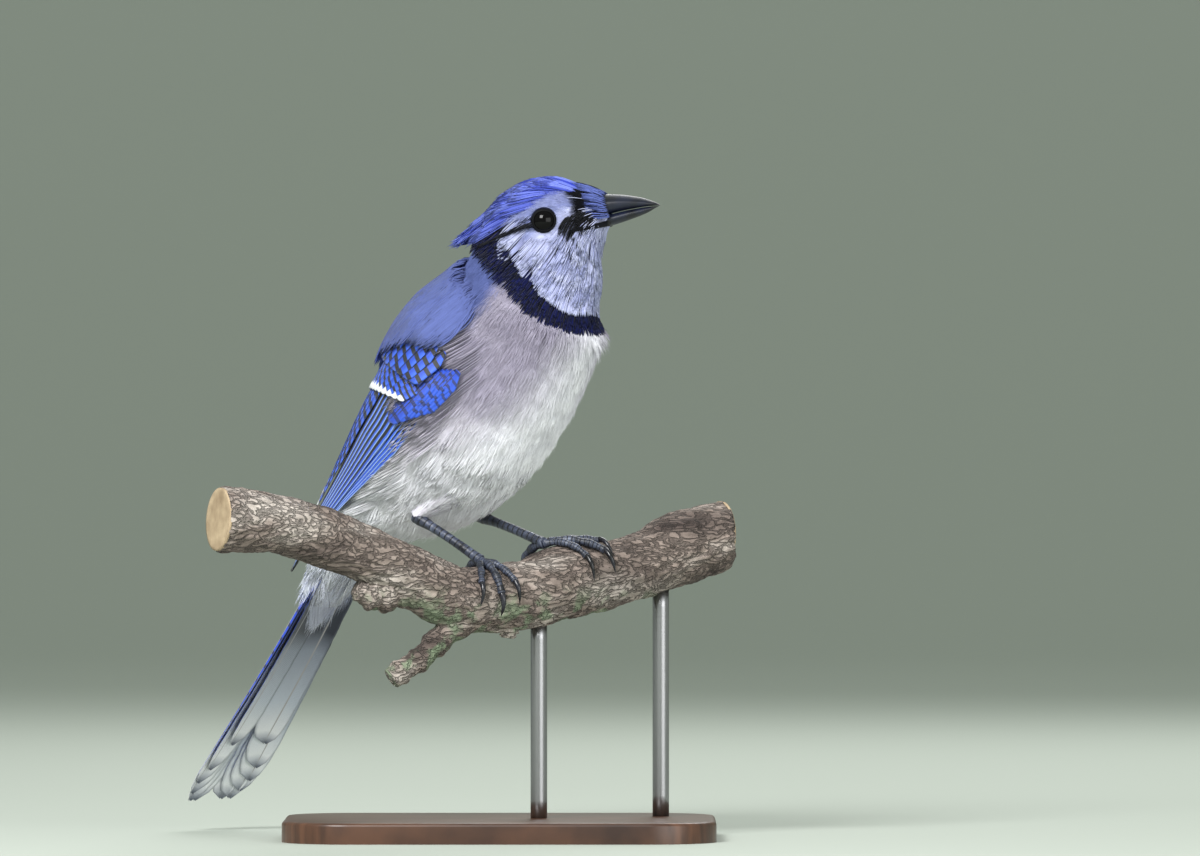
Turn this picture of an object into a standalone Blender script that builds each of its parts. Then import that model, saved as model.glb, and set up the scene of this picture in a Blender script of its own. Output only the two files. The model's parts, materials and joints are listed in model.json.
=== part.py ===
"""A life-size blue jay perched on a cut length of branch, held on a plain display stand.

Lengths below are in millimetres and angles in degrees; MM turns them into metres when a mesh is made.
+X runs to the right of the viewer, +Y away from the viewer and +Z up. The origin is the centre of the
stand base's underside. The bird's head is turned to its left, so that it looks along +X.
"""

import math

import bmesh
import bpy
import numpy as np
from mathutils import Matrix, Vector

MM = 0.001
GAP = 0.3

# Pose of the trunk: its heading is turned towards the viewer and its axis is pitched up.
TRUNK_YAW = 38.0
TRUNK_PITCH = 50.0
TRUNK_CENTRE = (-11.5, 10.0, 168.8)
TAIL_PITCH = 54.5
HEAD_YAW = 6.0

# Stand
BASE_LENGTH = 166.0
BASE_DEPTH = 112.0
BASE_HEIGHT = 8.0
BASE_CORNER = 26.0
ROD_RADIUS = 3.2
ROD_SIDES = 24
ROD_X = (15.0, 62.0)

# The branch rises from near left to far right: its depth grows by this much for each unit of x.
BRANCH_DEPTH_SLOPE = 0.456
BRANCH_DEPTH_AT_ZERO = -8.5

# Feathers
VANE_THICK = 0.5
TAIL_LENGTH = 140.0


def direction(yaw, pitch):
    """Unit vector with its heading turned towards the viewer by yaw and raised by pitch."""
    y, p = math.radians(yaw), math.radians(pitch)
    return np.array([math.cos(y) * math.cos(p), -math.sin(y) * math.cos(p), math.sin(p)])


def axes(yaw, pitch):
    """Forward, dorsal and right unit vectors of a body section."""
    forward = direction(yaw, pitch)
    dorsal = -direction(yaw, pitch - 90.0)
    dorsal = dorsal if dorsal[2] >= 0 else -dorsal
    return forward, dorsal, np.cross(forward, dorsal)


def smooth(xs, ys, x):
    """Cubic Hermite curve through the points (xs, ys), with slopes from their neighbours."""
    xs, ys, x = np.asarray(xs, float), np.asarray(ys, float), np.asarray(x, float)
    slope = np.gradient(ys, xs)
    i = np.clip(np.searchsorted(xs, x) - 1, 0, len(xs) - 2)
    step = xs[i + 1] - xs[i]
    u = np.clip((x - xs[i]) / step, 0.0, 1.0)
    rise = 3 * u * u - 2 * u ** 3
    return (ys[i] * (1 - rise) + ys[i + 1] * rise
            + step * slope[i] * (u ** 3 - 2 * u * u + u) + step * slope[i + 1] * (u ** 3 - u * u))


TRUNK_FORWARD, TRUNK_DORSAL, TRUNK_RIGHT = axes(TRUNK_YAW, TRUNK_PITCH)
CENTRE = np.array(TRUNK_CENTRE)


def trunk_point(along, up, right):
    """A point given along the trunk's axis, towards its back and to its right."""
    return CENTRE + along * TRUNK_FORWARD + up * TRUNK_DORSAL + right * TRUNK_RIGHT


# Trunk sections from the neck to the tail coverts: place on the axis, lift of the middle, then the
# reach to the back, to the belly and to each side.
TRUNK_SECTIONS = (
    (30.0, 0.0, 34.0, 37.0, 29.5),
    (18.0, 0.0, 33.2, 37.6, 31.5),
    (4.0, 0.0, 32.0, 38.0, 32.0),
    (-12.0, 0.0, 29.4, 36.0, 31.0),
    (-28.0, 0.5, 27.0, 32.0, 28.0),
    (-42.0, 2.5, 23.0, 27.0, 24.0),
    (-56.0, 5.5, 17.5, 19.5, 20.0),
    (-70.0, 8.5, 11.5, 13.5, 17.0),
    (-84.0, 9.6, 7.0, 9.4, 15.6),
    (-98.0, 8.8, 4.4, 6.6, 13.6),
    (-108.0, 7.4, 2.8, 4.4, 10.0),
)
# Neck and head sections up to the bill: x, y, z of the middle, pitch, yaw, then the same reaches.
HEAD_SECTIONS = (
    (11.7, -8.2, 206.1, 60.0, 34.0, 29.5, 33.0, 26.5),
    (13.3, -9.2, 213.2, 57.5, 28.0, 28.5, 30.0, 23.4),
    (15.2, -10.0, 220.5, 55.0, 20.0, 27.0, 27.5, 20.0),
    (17.9, -10.8, 227.4, 51.5, 14.0, 25.5, 26.5, 18.4),
    (21.5, -11.6, 233.2, 47.0, 10.0, 23.0, 23.5, 17.2),
    (25.6, -12.2, 238.0, 41.0, 8.0, 19.6, 19.6, 15.4),
    (30.2, -12.7, 240.9, 34.0, 6.0, 15.6, 15.8, 13.0),
    (34.6, -13.2, 242.0, 27.5, 6.0, 12.0, 12.2, 10.4),
    (37.7, -13.5, 241.9, 24.5, 6.0, 9.0, 9.2, 8.2),
    (40.2, -13.8, 241.7, 24.5, 6.0, 6.8, 6.9, 6.4),
)
NECK_END = 4.0
HEAD_START = 2.0


def section_table():
    """Every body section from the bill (0) back to the tail coverts, one row of eight values each."""
    rows = [list(row) for row in HEAD_SECTIONS[::-1]]
    for along, lift, back, belly, side in TRUNK_SECTIONS:
        rows.append([*trunk_point(along, lift, 0.0), TRUNK_PITCH, TRUNK_YAW, back, belly, side])
    return np.array(rows)


SECTIONS = section_table()
BILL_SECTION = 0.0
LAST_HEAD = float(len(HEAD_SECTIONS) - 1)
HEAD_CUT = 6.6
NECK_CUT = LAST_HEAD + 0.7
COVERT_CUT = LAST_HEAD + 8.0
BODY_END = float(len(SECTIONS) - 1)


def section_at(s):
    """The interpolated row of SECTIONS at s, counted in sections from the bill."""
    index = np.arange(len(SECTIONS))
    return np.array([float(smooth(index, column, s)) for column in SECTIONS.T])


def body_point(s, angle, height=0.0):
    """A point on the body: angle 0 is the back's midline, 90 the bird's right and 180 the belly."""
    x, y, z, pitch, yaw, back, belly, side = section_at(s)
    forward, dorsal, right = axes(yaw, pitch)
    a = math.radians(angle)
    reach = back if math.cos(a) > 0 else belly
    return (np.array([x, y, z]) + dorsal * math.cos(a) * (reach + height)
            + right * math.sin(a) * (side + height))


def shift_along(s, distance):
    """The section parameter that lies this far, in millimetres, towards the tail from s."""
    here, there = section_at(s)[:3], section_at(s + 0.05)[:3]
    return s + 0.05 * distance / np.linalg.norm(there - here)


# Making objects

def clear_scene():
    for old in list(bpy.data.objects):
        bpy.data.objects.remove(old, do_unlink=True)


def material(name, colour, roughness, metallic=0.0):
    """A plain Principled material."""
    made = bpy.data.materials.new(name)
    made.use_nodes = True
    shader = made.node_tree.nodes["Principled BSDF"]
    shader.inputs["Base Color"].default_value = (*colour, 1.0)
    shader.inputs["Roughness"].default_value = roughness
    shader.inputs["Metallic"].default_value = metallic
    return made


def mesh_object(name, points, faces, collection, finish):
    """A mesh object from points in millimetres."""
    mesh = bpy.data.meshes.new(name)
    mesh.from_pydata([tuple(float(c) * MM for c in p) for p in points], [], faces)
    mesh.update()
    made = bpy.data.objects.new(name, mesh)
    collection.objects.link(made)
    if finish is not None:
        mesh.materials.append(finish)
    return made


def rings_to_object(name, rings, collection, finish, crescent=False):
    """A closed loft: rings of equal length joined by quads, with a flat fan over each end.

    A crescent's ring runs along its inner side and back along its outer side, and its ends are strips.
    """
    count = len(rings[0])
    points = [p for ring in rings for p in ring]
    faces = []
    for i in range(len(rings) - 1):
        for j in range(count):
            a, b = i * count + j, i * count + (j + 1) % count
            faces.append((a, b, b + count, a + count))
    for end, ring in ((0, rings[0]), (len(rings) - 1, rings[-1])):
        if crescent:
            first = end * count
            faces += [(first + j, first + j + 1, first + count - 2 - j, first + count - 1 - j)
                      for j in range(count // 2 - 1)]
            continue
        points.append(np.mean(ring, axis=0))
        middle = len(points) - 1
        for j in range(count):
            a, b = end * count + j, end * count + (j + 1) % count
            faces.append((middle, b, a) if end == 0 else (middle, a, b))
    made = mesh_object(name, points, faces, collection, finish)
    point_out(made)
    return made


def point_out(made):
    """Turns every face of a closed mesh outwards."""
    work = bmesh.new()
    work.from_mesh(made.data)
    bmesh.ops.recalc_face_normals(work, faces=work.faces)
    if work.calc_volume(signed=True) < 0:
        bmesh.ops.reverse_faces(work, faces=work.faces)
    work.to_mesh(made.data)
    work.free()


def body_length(name, start, end, rings, sides, collection, finish, height=0.0):
    """A closed length of the body loft between two section parameters."""
    made = [[body_point(s, 360.0 * j / sides, height) for j in range(sides)]
            for s in np.linspace(start, end, rings)]
    return rings_to_object(name, made, collection, finish)


def limb(name, points, radii, collection, finish, resolution=2):
    """A tapered round limb from a bevelled curve, turned into a welded mesh."""
    curve = bpy.data.curves.new(name, "CURVE")
    curve.dimensions = "3D"
    curve.bevel_depth = MM
    curve.bevel_resolution = resolution
    curve.use_fill_caps = True
    spline = curve.splines.new("POLY")
    spline.points.add(len(points) - 1)
    for control, place, radius in zip(spline.points, points, radii):
        control.co = (*(float(c) * MM for c in place), 1.0)
        control.radius = float(radius)
    holder = bpy.data.objects.new(name + "_curve", curve)
    collection.objects.link(holder)
    bpy.context.view_layer.update()
    mesh = bpy.data.meshes.new_from_object(
        holder.evaluated_get(bpy.context.evaluated_depsgraph_get()))
    bpy.data.objects.remove(holder)
    bpy.data.curves.remove(curve)
    work = bmesh.new()
    work.from_mesh(mesh)
    bmesh.ops.remove_doubles(work, verts=work.verts, dist=0.000005)
    bmesh.ops.recalc_face_normals(work, faces=work.faces)
    work.to_mesh(mesh)
    work.free()
    mesh.materials.clear()
    if finish is not None:
        mesh.materials.append(finish)
    made = bpy.data.objects.new(name, mesh)
    collection.objects.link(made)
    return made


def vane(name, middles, sides, normals, left, right, collection, thick=VANE_THICK):
    """A thin closed feather vane: rows of a left edge, a shaft and a right edge on two faces.

    Both faces are split into triangles alike, so that they never cross.
    """
    rows = len(middles)
    points = []
    for face in (0.5, -0.5):
        for i in range(rows):
            fade = 1.0 if i < rows - 2 else 0.8
            lift = normals[i] * thick * face * fade
            points.append(middles[i] - sides[i] * left[i] + lift)
            points.append(middles[i] + lift + normals[i] * (0.12 if face > 0 else 0.0))
            points.append(middles[i] + sides[i] * right[i] + lift)
    below = rows * 3
    faces = []
    for i in range(rows - 1):
        for j in range(2):
            a, b, c, d = i * 3 + j, i * 3 + j + 1, i * 3 + j + 4, i * 3 + j + 3
            faces += [(a, b, c), (a, c, d), (below + a, below + c, below + b), (below + a, below + d, below + c)]
        for j in (0, 2):
            a, d = i * 3 + j, i * 3 + j + 3
            faces += [(a, d, below + d), (a, below + d, below + a)]
    for i in (0, rows - 1):
        for j in range(2):
            a, b = i * 3 + j, i * 3 + j + 1
            faces += [(a, b, below + b), (a, below + b, below + a)]
    made = mesh_object(name, points, faces, collection, None)
    point_out(made)
    return made


def outline(rows, width, point=0.35):
    """Half widths of a feather from root to tip, with a rounded tip."""
    share = np.linspace(0.0, 1.0, rows)
    grow = np.minimum(1.0, 0.45 + share * 2.2)
    tip = np.sqrt(np.clip(1.0 - ((share - 0.8) / 0.2).clip(0.0, 1.0) ** 2, 0.0, 1.0))
    return width * grow * np.maximum(tip, point)


def boolean(target, operation, cutter=None, group=None):
    """Applies one Boolean modifier and removes what it used."""
    modifier = target.modifiers.new("cut", "BOOLEAN")
    modifier.operation = operation
    modifier.solver = "EXACT"
    if group is None:
        modifier.object = cutter
        used = [cutter]
    else:
        modifier.operand_type = "COLLECTION"
        modifier.collection = group
        used = list(group.objects)
    bpy.context.view_layer.update()
    mesh = bpy.data.meshes.new_from_object(
        target.evaluated_get(bpy.context.evaluated_depsgraph_get()))
    target.modifiers.clear()
    target.data = mesh
    for old in used:
        bpy.data.objects.remove(old)
    if group is not None:
        bpy.data.collections.remove(group)
    return target


def keep_largest(made):
    """Keeps only the largest closed surface of a mesh."""
    work = bmesh.new()
    work.from_mesh(made.data)
    bmesh.ops.triangulate(work, faces=work.faces)
    left, groups = set(work.verts), []
    while left:
        seed = left.pop()
        group, border = {seed}, [seed]
        while border:
            for edge in border.pop().link_edges:
                for end in edge.verts:
                    if end in left:
                        left.discard(end)
                        group.add(end)
                        border.append(end)
        groups.append(group)
    groups.sort(key=lambda group: sum(len(v.link_faces) for v in group))
    for group in groups[:-1]:
        bmesh.ops.delete(work, geom=list(group), context="VERTS")
    work.to_mesh(made.data)
    work.free()
    return made


def helper_collection(name):
    group = bpy.data.collections.new(name)
    bpy.context.scene.collection.children.link(group)
    return group


def fuse(core, group):
    """Joins the closed meshes of a collection to a core and keeps one closed body."""
    return keep_largest(boolean(core, "UNION", group=group))


def shade(made):
    made.data.shade_smooth()
    made.data.set_sharp_from_angle(angle=math.radians(40.0))


# Head

EYE_SECTION = LAST_HEAD - 4.25
EYE_ANGLE = 80.0
EYE_RADIUS = 5.6
EYE_SINK = 3.6
LID_RADIUS = 4.55
LID_THICK = 0.75
CREST_ROWS = (
    # section where the row starts, angle from the midline, length, half width, lift of the tip
    (2.4, (0.0,), 17.0, 3.4, 1.4),
    (3.6, (-26.0, 0.0, 26.0), 19.0, 3.6, 1.6),
    (5.0, (-38.0, -13.0, 13.0, 38.0), 20.0, 3.8, 2.0),
    (5.9, (-26.0, -9.0, 9.0, 26.0), 22.0, 3.4, 3.4),
)
CREST_TIP = (-18.4, -4.0, 228.6)
BRISTLE_ANGLES = (-72.0, -46.0, -20.0, 20.0, 46.0, 72.0)
BRISTLE_LENGTH = 7.5


def eye_frame(hand):
    """Centre of an eyeball and the direction in which it looks; hand is 1 for the right eye."""
    surface = body_point(EYE_SECTION, hand * EYE_ANGLE)
    x, y, z, pitch, yaw, *_ = section_at(EYE_SECTION)
    outward = axes(yaw, 0.0)[2] * hand
    outward = outward + direction(yaw, 0.0) * 0.16
    outward = outward / np.linalg.norm(outward)
    return surface - outward * EYE_SINK, outward


def crest_lock(name, s, angle, length, width, lift, group, free_tip=None):
    """A flat tapered crest feather that lies back over the crown."""
    rows = 5
    middles = []
    for share in np.linspace(0.0, 1.0, rows):
        at = shift_along(s, length * share)
        turn = angle * (1.0 - 0.45 * share)
        middles.append(body_point(at, turn, -0.6 + (lift + 0.6) * share))
    if free_tip is not None:
        last = middles[1]
        for k, share in ((2, 0.36), (3, 0.7), (4, 1.0)):
            middles[k] = last + (np.array(free_tip) - last) * share
    middles = np.array(middles)
    runs = np.gradient(middles, axis=0)
    runs /= np.linalg.norm(runs, axis=1)[:, None]
    x, y, z, pitch, yaw, *_ = section_at(s)
    _, dorsal, right = axes(yaw, pitch)
    a = math.radians(angle)
    outward = dorsal * math.cos(a) + right * math.sin(a)
    normals = outward - runs * (runs @ outward)[:, None]
    normals /= np.linalg.norm(normals, axis=1)[:, None]
    across = np.cross(normals, runs)
    half = outline(rows, width, 0.22)
    return vane(name, middles, across, normals, half, half, group, 0.7)


def make_head(parts, finish):
    """The head from the neck cut to the bill's root, with its crest, lids and nose bristles."""
    head = body_length("head", BILL_SECTION, HEAD_CUT, 13, 22, parts, finish)
    group = helper_collection("head_pieces")
    count = 0
    for s, angles, length, width, lift in CREST_ROWS:
        for angle in angles:
            free = None
            if s == CREST_ROWS[-1][0] and abs(angle) < 15.0:
                free = np.array(CREST_TIP) + axes(20.0, 0.0)[2] * angle * 0.1
            crest_lock(f"crest_{count}", s, angle, length, width, lift, group, free)
            count += 1
    for hand in (1, -1):
        centre, outward = eye_frame(hand)
        middle = Vector((centre + outward * (EYE_RADIUS - 1.7)) * MM)
        bpy.ops.mesh.primitive_torus_add(
            major_radius=LID_RADIUS * MM, minor_radius=LID_THICK * MM,
            major_segments=16, minor_segments=5, location=middle,
            rotation=Vector(outward).to_track_quat("Z", "Y").to_euler())
        lid = bpy.context.object
        for old in list(lid.users_collection):
            old.objects.unlink(lid)
        group.objects.link(lid)
    for k, angle in enumerate(BRISTLE_ANGLES):
        bristle(f"bristle_{k}", angle, group)
    fuse(head, group)
    for hand in (1, -1):
        centre, _ = eye_frame(hand)
        boolean(head, "DIFFERENCE", eyeball("socket", centre, EYE_RADIUS + GAP, parts, None))
    boolean(head, "DIFFERENCE", body_length("head_cutter", shift_along(HEAD_CUT, GAP * 0.8),
                                            NECK_CUT + 2.0, 12, 28, parts, None, GAP))
    keep_largest(head)
    shade(head)
    return head


def bristle(name, angle, group):
    """A short stiff feather that lies forward from the forehead over the bill's root."""
    rows = 4
    x, y, z, pitch, yaw, back, belly, side = section_at(BILL_SECTION)
    forward = direction(HEAD_YAW, -4.0)
    _, dorsal, right = axes(yaw, 0.0)
    a = math.radians(angle)
    outward = dorsal * math.cos(a) + right * math.sin(a)
    root = body_point(0.55, angle, -0.7)
    tip = body_point(BILL_SECTION, angle, 0.5) + forward * BRISTLE_LENGTH * 0.62
    middles = np.array([root + (tip - root) * share for share in np.linspace(0.0, 1.0, rows)])
    run = (tip - root) / np.linalg.norm(tip - root)
    normal = outward - run * (run @ outward)
    normal /= np.linalg.norm(normal)
    half = outline(rows, 1.9, 0.25)
    vane(name, middles, [np.cross(normal, run)] * rows, [normal] * rows, half, half, group, 0.6)


def eyeball(name, centre, radius, collection, finish):
    """A round ball as a mesh object."""
    work = bmesh.new()
    bmesh.ops.create_uvsphere(work, u_segments=16, v_segments=10, radius=radius * MM)
    bmesh.ops.translate(work, verts=work.verts, vec=Vector(centre * MM))
    mesh = bpy.data.meshes.new(name)
    work.to_mesh(mesh)
    work.free()
    made = bpy.data.objects.new(name, mesh)
    collection.objects.link(made)
    if finish is not None:
        mesh.materials.append(finish)
    return made


# Bill: x and z of the ridge, the cutting edge and the keel, measured in the head's own plane
RIDGE_X = (37.9, 46.2, 53.8, 58.8, 61.6)
RIDGE_Z = (247.9, 247.4, 246.4, 244.9, 243.5)
EDGE_X = (41.5, 46.5, 52.0, 57.0, 61.2)
EDGE_Z = (239.7, 241.0, 242.1, 242.9, 243.2)
KEEL_X = (43.9, 47.5, 52.8, 57.0, 59.6)
KEEL_Z = (235.5, 236.9, 238.8, 240.6, 242.2)
BILL_HALF_WIDTH = (5.3, 4.3, 3.2, 1.9, 0.5)
BILL_ROOT_Y = -13.9
BILL_SIDES = 12


def bill_ring(top, bottom, half_width, flat_top):
    """One closed section of a half of the bill, from its top point to its bottom point."""
    forward = direction(HEAD_YAW, 0.0)
    right = axes(HEAD_YAW, 0.0)[2]
    ring = []
    middle = (np.array(top) + np.array(bottom)) / 2
    rise = (np.array(top) - np.array(bottom)) / 2
    for j in range(BILL_SIDES):
        a = 2 * math.pi * j / BILL_SIDES
        up = math.cos(a)
        out = math.sin(a)
        spread = 1.0 - 0.45 * max(0.0, up) if not flat_top else 1.0 - 0.45 * max(0.0, -up)
        x, z = middle + rise * up
        reach = (x - HEAD_SECTIONS[-1][0]) / forward[0]
        base = np.array([x, BILL_ROOT_Y + forward[1] * reach, z])
        ring.append(base + right * out * half_width * spread)
    return ring


def make_bill(parts, finish):
    """The two halves of the bill, closed on each other along the line of the mouth."""
    steps = range(len(RIDGE_X))
    upper = [bill_ring((RIDGE_X[k], RIDGE_Z[k]), (EDGE_X[k], EDGE_Z[k] + GAP / 2),
                       BILL_HALF_WIDTH[k], False) for k in steps]
    lower = [bill_ring((EDGE_X[k] - 0.3, EDGE_Z[k] - GAP * 0.75), (KEEL_X[k], KEEL_Z[k]),
                       BILL_HALF_WIDTH[k] * 0.86, True) for k in steps]
    shade(rings_to_object("bill_upper", upper, parts, finish))
    shade(rings_to_object("bill_lower", lower, parts, finish))


# Wings

WING_BED = (
    # place on the trunk's axis, reach of the bed to the back and to the side, lift of its middle
    (40.0, 35.2, 28.3, 0.0),
    (30.0, 35.4, 30.7, 0.0),
    (18.0, 34.6, 32.7, 0.0),
    (4.0, 33.4, 33.2, 0.0),
    (-12.0, 31.0, 32.2, 0.0),
    (-28.0, 29.2, 29.5, 0.5),
    (-42.0, 27.0, 26.1, 1.0),
    (-56.0, 24.6, 23.5, 1.5),
    (-70.0, 23.0, 20.9, 1.8),
    (-86.0, 21.0, 18.5, 2.0),
    (-104.0, 19.0, 16.5, 2.0),
)
WING_GROUPS = {
    # count, root along and angle (first, last), tip along and angle (first, last), half width,
    # root and tip height above the bed, tilt, rows of points
    "primary": (7, (-4.0, 0.0), (96.0, 82.0), (-84.0, -103.0), (50.0, 31.0), 4.6, (1.8, 2.0), 11.0, 5),
    "secondary": (6, (0.0, 2.0), (80.0, 52.0), (-69.0, -74.0), (56.0, 32.0), 5.2, (2.2, 3.0), 11.0, 5),
    "tertial": (3, (4.0, 4.0), (46.0, 26.0), (-66.0, -46.0), (27.0, 16.0), 6.0, (2.6, 3.8), 8.0, 5),
    "greater_covert": (8, (10.0, 6.0), (94.0, 26.0), (-3.0, -21.0), (89.0, 26.0), 4.8, (2.6, 4.4), 10.0, 4),
    "median_covert": (6, (20.0, 17.0), (93.0, 26.0), (6.0, -5.0), (91.0, 26.0), 5.4, (2.6, 5.0), 10.0, 4),
}
WING_CORE_ALONG = (26.0, -12.0)
WING_CORE_ANGLE = (14.0, 101.0)
WING_CORE_THICK = 2.6


def wing_point(along, angle, height, hand):
    """A point at a height above the bed that the folded wing lies on; hand is 1 for the right wing."""
    table = np.array(sorted(WING_BED))
    back = float(smooth(table[:, 0], table[:, 1], along))
    side = float(smooth(table[:, 0], table[:, 2], along))
    lift = float(smooth(table[:, 0], table[:, 3], along))
    a = math.radians(angle)
    return trunk_point(along, lift + (back + height) * math.cos(a), hand * (side + height) * math.sin(a))


def wing_vane(name, root, tip, half_width, heights, tilt, rows, hand, group):
    """One feather laid back along the wing, its lower edge lifted over the next feather."""
    middles, normals, across = [], [], []
    shares = np.linspace(0.0, 1.0, rows)
    for share in shares:
        along = root[0] + (tip[0] - root[0]) * share
        angle = root[1] + (tip[1] - root[1]) * share ** 1.5
        height = heights[0] + (heights[1] - heights[0]) * share
        here = wing_point(along, angle, height, hand)
        outward = wing_point(along, angle, height + 1.0, hand) - here
        down = wing_point(along, angle + 1.0, height, hand) - here
        down /= np.linalg.norm(down)
        lean = math.radians(tilt)
        middles.append(here)
        across.append(down * math.cos(lean) + outward * math.sin(lean))
        normals.append(outward * math.cos(lean) - down * math.sin(lean))
    half = outline(rows, half_width, 0.3)
    return vane(name, np.array(middles), np.array(across), np.array(normals), half * 1.15, half * 0.85, group)


def make_wing(side_name, hand, parts, finish):
    """A folded wing: a thin arm over the flank with its feathers in overlapping tiers."""
    rings = []
    for along in np.linspace(*WING_CORE_ALONG, 9):
        share = (along - WING_CORE_ALONG[1]) / (WING_CORE_ALONG[0] - WING_CORE_ALONG[1])
        thick = WING_CORE_THICK * (0.25 + 0.75 * math.sin(math.pi * min(1.0, share * 0.9 + 0.1)))
        angles = np.linspace(*WING_CORE_ANGLE, 11)
        inner = [wing_point(along, a, 0.5, hand) for a in angles]
        outer = [wing_point(along, a, 0.5 + thick * (0.3 + 0.7 * math.sin(
            math.pi * (a - angles[0]) / (angles[-1] - angles[0]))), hand) for a in angles[::-1]]
        rings.append(inner + outer)
    wing = rings_to_object(f"wing_{side_name}", rings, parts, finish, crescent=True)
    group = helper_collection(f"wing_{side_name}_pieces")
    for kind, (count, root_t, root_a, tip_t, tip_a, half, heights, tilt, rows) in WING_GROUPS.items():
        for k in range(count):
            share = k / (count - 1)
            root = (root_t[0] + (root_t[1] - root_t[0]) * share, root_a[0] + (root_a[1] - root_a[0]) * share)
            tip = (tip_t[0] + (tip_t[1] - tip_t[0]) * share, tip_a[0] + (tip_a[1] - tip_a[0]) * share)
            wing_vane(f"{kind}_{side_name}_{k}", root, tip, half, heights, tilt, rows, hand, group)
    fuse(wing, group)

    shade(wing)
    return wing


# Tail

TAIL_FORWARD, TAIL_DORSAL, TAIL_RIGHT = axes(TRUNK_YAW, TAIL_PITCH)
TAIL_ROOT_ALONG = -66.0
TAIL_ROOT_UP = 12.5
TAIL_FEATHERS = (
    # length share, side offset of the root and of the tip, layer below the uppermost feather
    (1.0, 2.0, 8.5, 0.0),
    (0.995, 3.4, 12.5, 1.0),
    (0.965, 4.6, 15.0, 2.0),
    (0.925, 5.6, 16.0, 3.0),
    (0.875, 6.4, 14.5, 4.0),
    (0.785, 7.0, 10.5, 5.0),
)
TAIL_LAYER = 0.85
TAIL_TILT = 5.0
TAIL_OUTER_WEB = 5.4
TAIL_INNER_WEB = 10.5
TAIL_ROWS = 7


def tail_point(back, down, right):
    """A point given back along the tail, below its uppermost feather and to its right."""
    root = trunk_point(TAIL_ROOT_ALONG, TAIL_ROOT_UP, 0.0)
    return root - back * TAIL_FORWARD - down * TAIL_DORSAL + right * TAIL_RIGHT


def make_tail(parts, finish):
    """The tail with its twelve feathers, rooted in the coverts that wrap them."""
    tail = body_length("tail", shift_along(COVERT_CUT, GAP), BODY_END, 9, 22, parts, finish)
    group = helper_collection("tail_pieces")
    for k, (share, root_side, tip_side, layer) in enumerate(TAIL_FEATHERS):
        for hand in (1, -1):
            length = TAIL_LENGTH * share
            stagger = 0.42 if hand > 0 else 0.0
            middles = []
            for part in np.linspace(0.09, 1.0, TAIL_ROWS):
                side = root_side + (tip_side - root_side) * part
                drop = (layer + stagger) * TAIL_LAYER * (0.55 + 0.45 * part) + 1.5 * math.sin(math.pi * part)
                middles.append(tail_point(length * part, drop, hand * side))
            lean = math.radians(TAIL_TILT + 1.2 * k)
            across = TAIL_RIGHT * hand * math.cos(lean) - TAIL_DORSAL * math.sin(lean)
            normal = TAIL_DORSAL * math.cos(lean) + TAIL_RIGHT * hand * math.sin(lean)
            outer = outline(TAIL_ROWS, TAIL_OUTER_WEB, 0.4)
            inner = outline(TAIL_ROWS, TAIL_INNER_WEB, 0.3)
            vane(f"tail_feather_{k}_{hand}", np.array(middles), [across] * TAIL_ROWS,
                 [normal] * TAIL_ROWS, inner, outer, group)
    fuse(tail, group)
    shade(tail)
    return tail


# Branch and stand

BRANCH_POINTS = (
    # x, z and radius of the branch's middle line
    (-106.0, 123.4, 12.9), (-84.6, 121.5, 11.5), (-69.2, 117.0, 11.4), (-58.5, 113.0, 11.0),
    (-46.2, 107.4, 11.2), (-31.2, 99.6, 11.7), (-16.9, 92.6, 12.6), (-3.8, 92.4, 13.0),
    (12.3, 94.6, 13.6), (23.5, 98.6, 14.7), (31.0, 99.8, 14.3), (40.0, 100.9, 13.1),
    (49.2, 103.4, 12.8), (58.8, 106.6, 13.1), (68.5, 111.2, 14.2), (78.0, 114.0, 14.1),
    (85.4, 116.8, 13.8),
)
BRANCH_RINGS = 27
BRANCH_SIDES = 16
STUB_POINTS = ((-38.0, 98.0, 6.0), (-47.0, 95.0, 6.4), (-54.5, 97.6, 4.0))
TWIG_POINTS = ((-14.0, 88.0, 7.6), (-21.0, 79.0, 5.4), (-30.5, 69.5, 4.4), (-41.0, 62.4, 4.2))
KNOB_POINTS = ((4.0, 84.0, 5.0), (3.0, 77.6, 2.8))


def branch_y(x):
    """Depth of the branch's middle line at x."""
    return BRANCH_DEPTH_AT_ZERO + BRANCH_DEPTH_SLOPE * x


def branch_at(x):
    """Middle point, radius and direction of the branch at x."""
    table = np.array(BRANCH_POINTS)
    z = float(smooth(table[:, 0], table[:, 1], x))
    radius = float(smooth(table[:, 0], table[:, 2], x))
    ahead = float(smooth(table[:, 0], table[:, 1], x + 1.0))
    run = np.array([1.0, BRANCH_DEPTH_SLOPE, ahead - z])
    return np.array([x, branch_y(x), z]), radius, run / np.linalg.norm(run)


def branch_object(name, collection, finish, grow=0.0):
    """The branch's own solid, or a thicker copy of it to cut with."""
    rings = []
    for x in np.linspace(BRANCH_POINTS[0][0] - grow, BRANCH_POINTS[-1][0] + grow, BRANCH_RINGS):
        middle, radius, run = branch_at(x)
        side = np.cross(run, (0.0, 0.0, 1.0))
        side /= np.linalg.norm(side)
        up = np.cross(side, run)
        rings.append([middle + (radius + grow) * (math.cos(a) * up + math.sin(a) * side)
                      for a in np.linspace(0.0, 2 * math.pi, BRANCH_SIDES, endpoint=False)])
    return rings_to_object(name, rings, collection, finish)


def make_branch(parts, finish):
    """The cut length of branch with its broken side shoots."""
    branch = branch_object("perch_branch", parts, finish)
    group = helper_collection("branch_pieces")
    for k, shoot in enumerate((STUB_POINTS, TWIG_POINTS, KNOB_POINTS)):
        places = [(x, branch_y(x) - 1.0, z) for x, z, _ in shoot]
        limb(f"shoot_{k}", places, [radius for _, _, radius in shoot], group, None)
    fuse(branch, group)
    shade(branch)
    return branch


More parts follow.
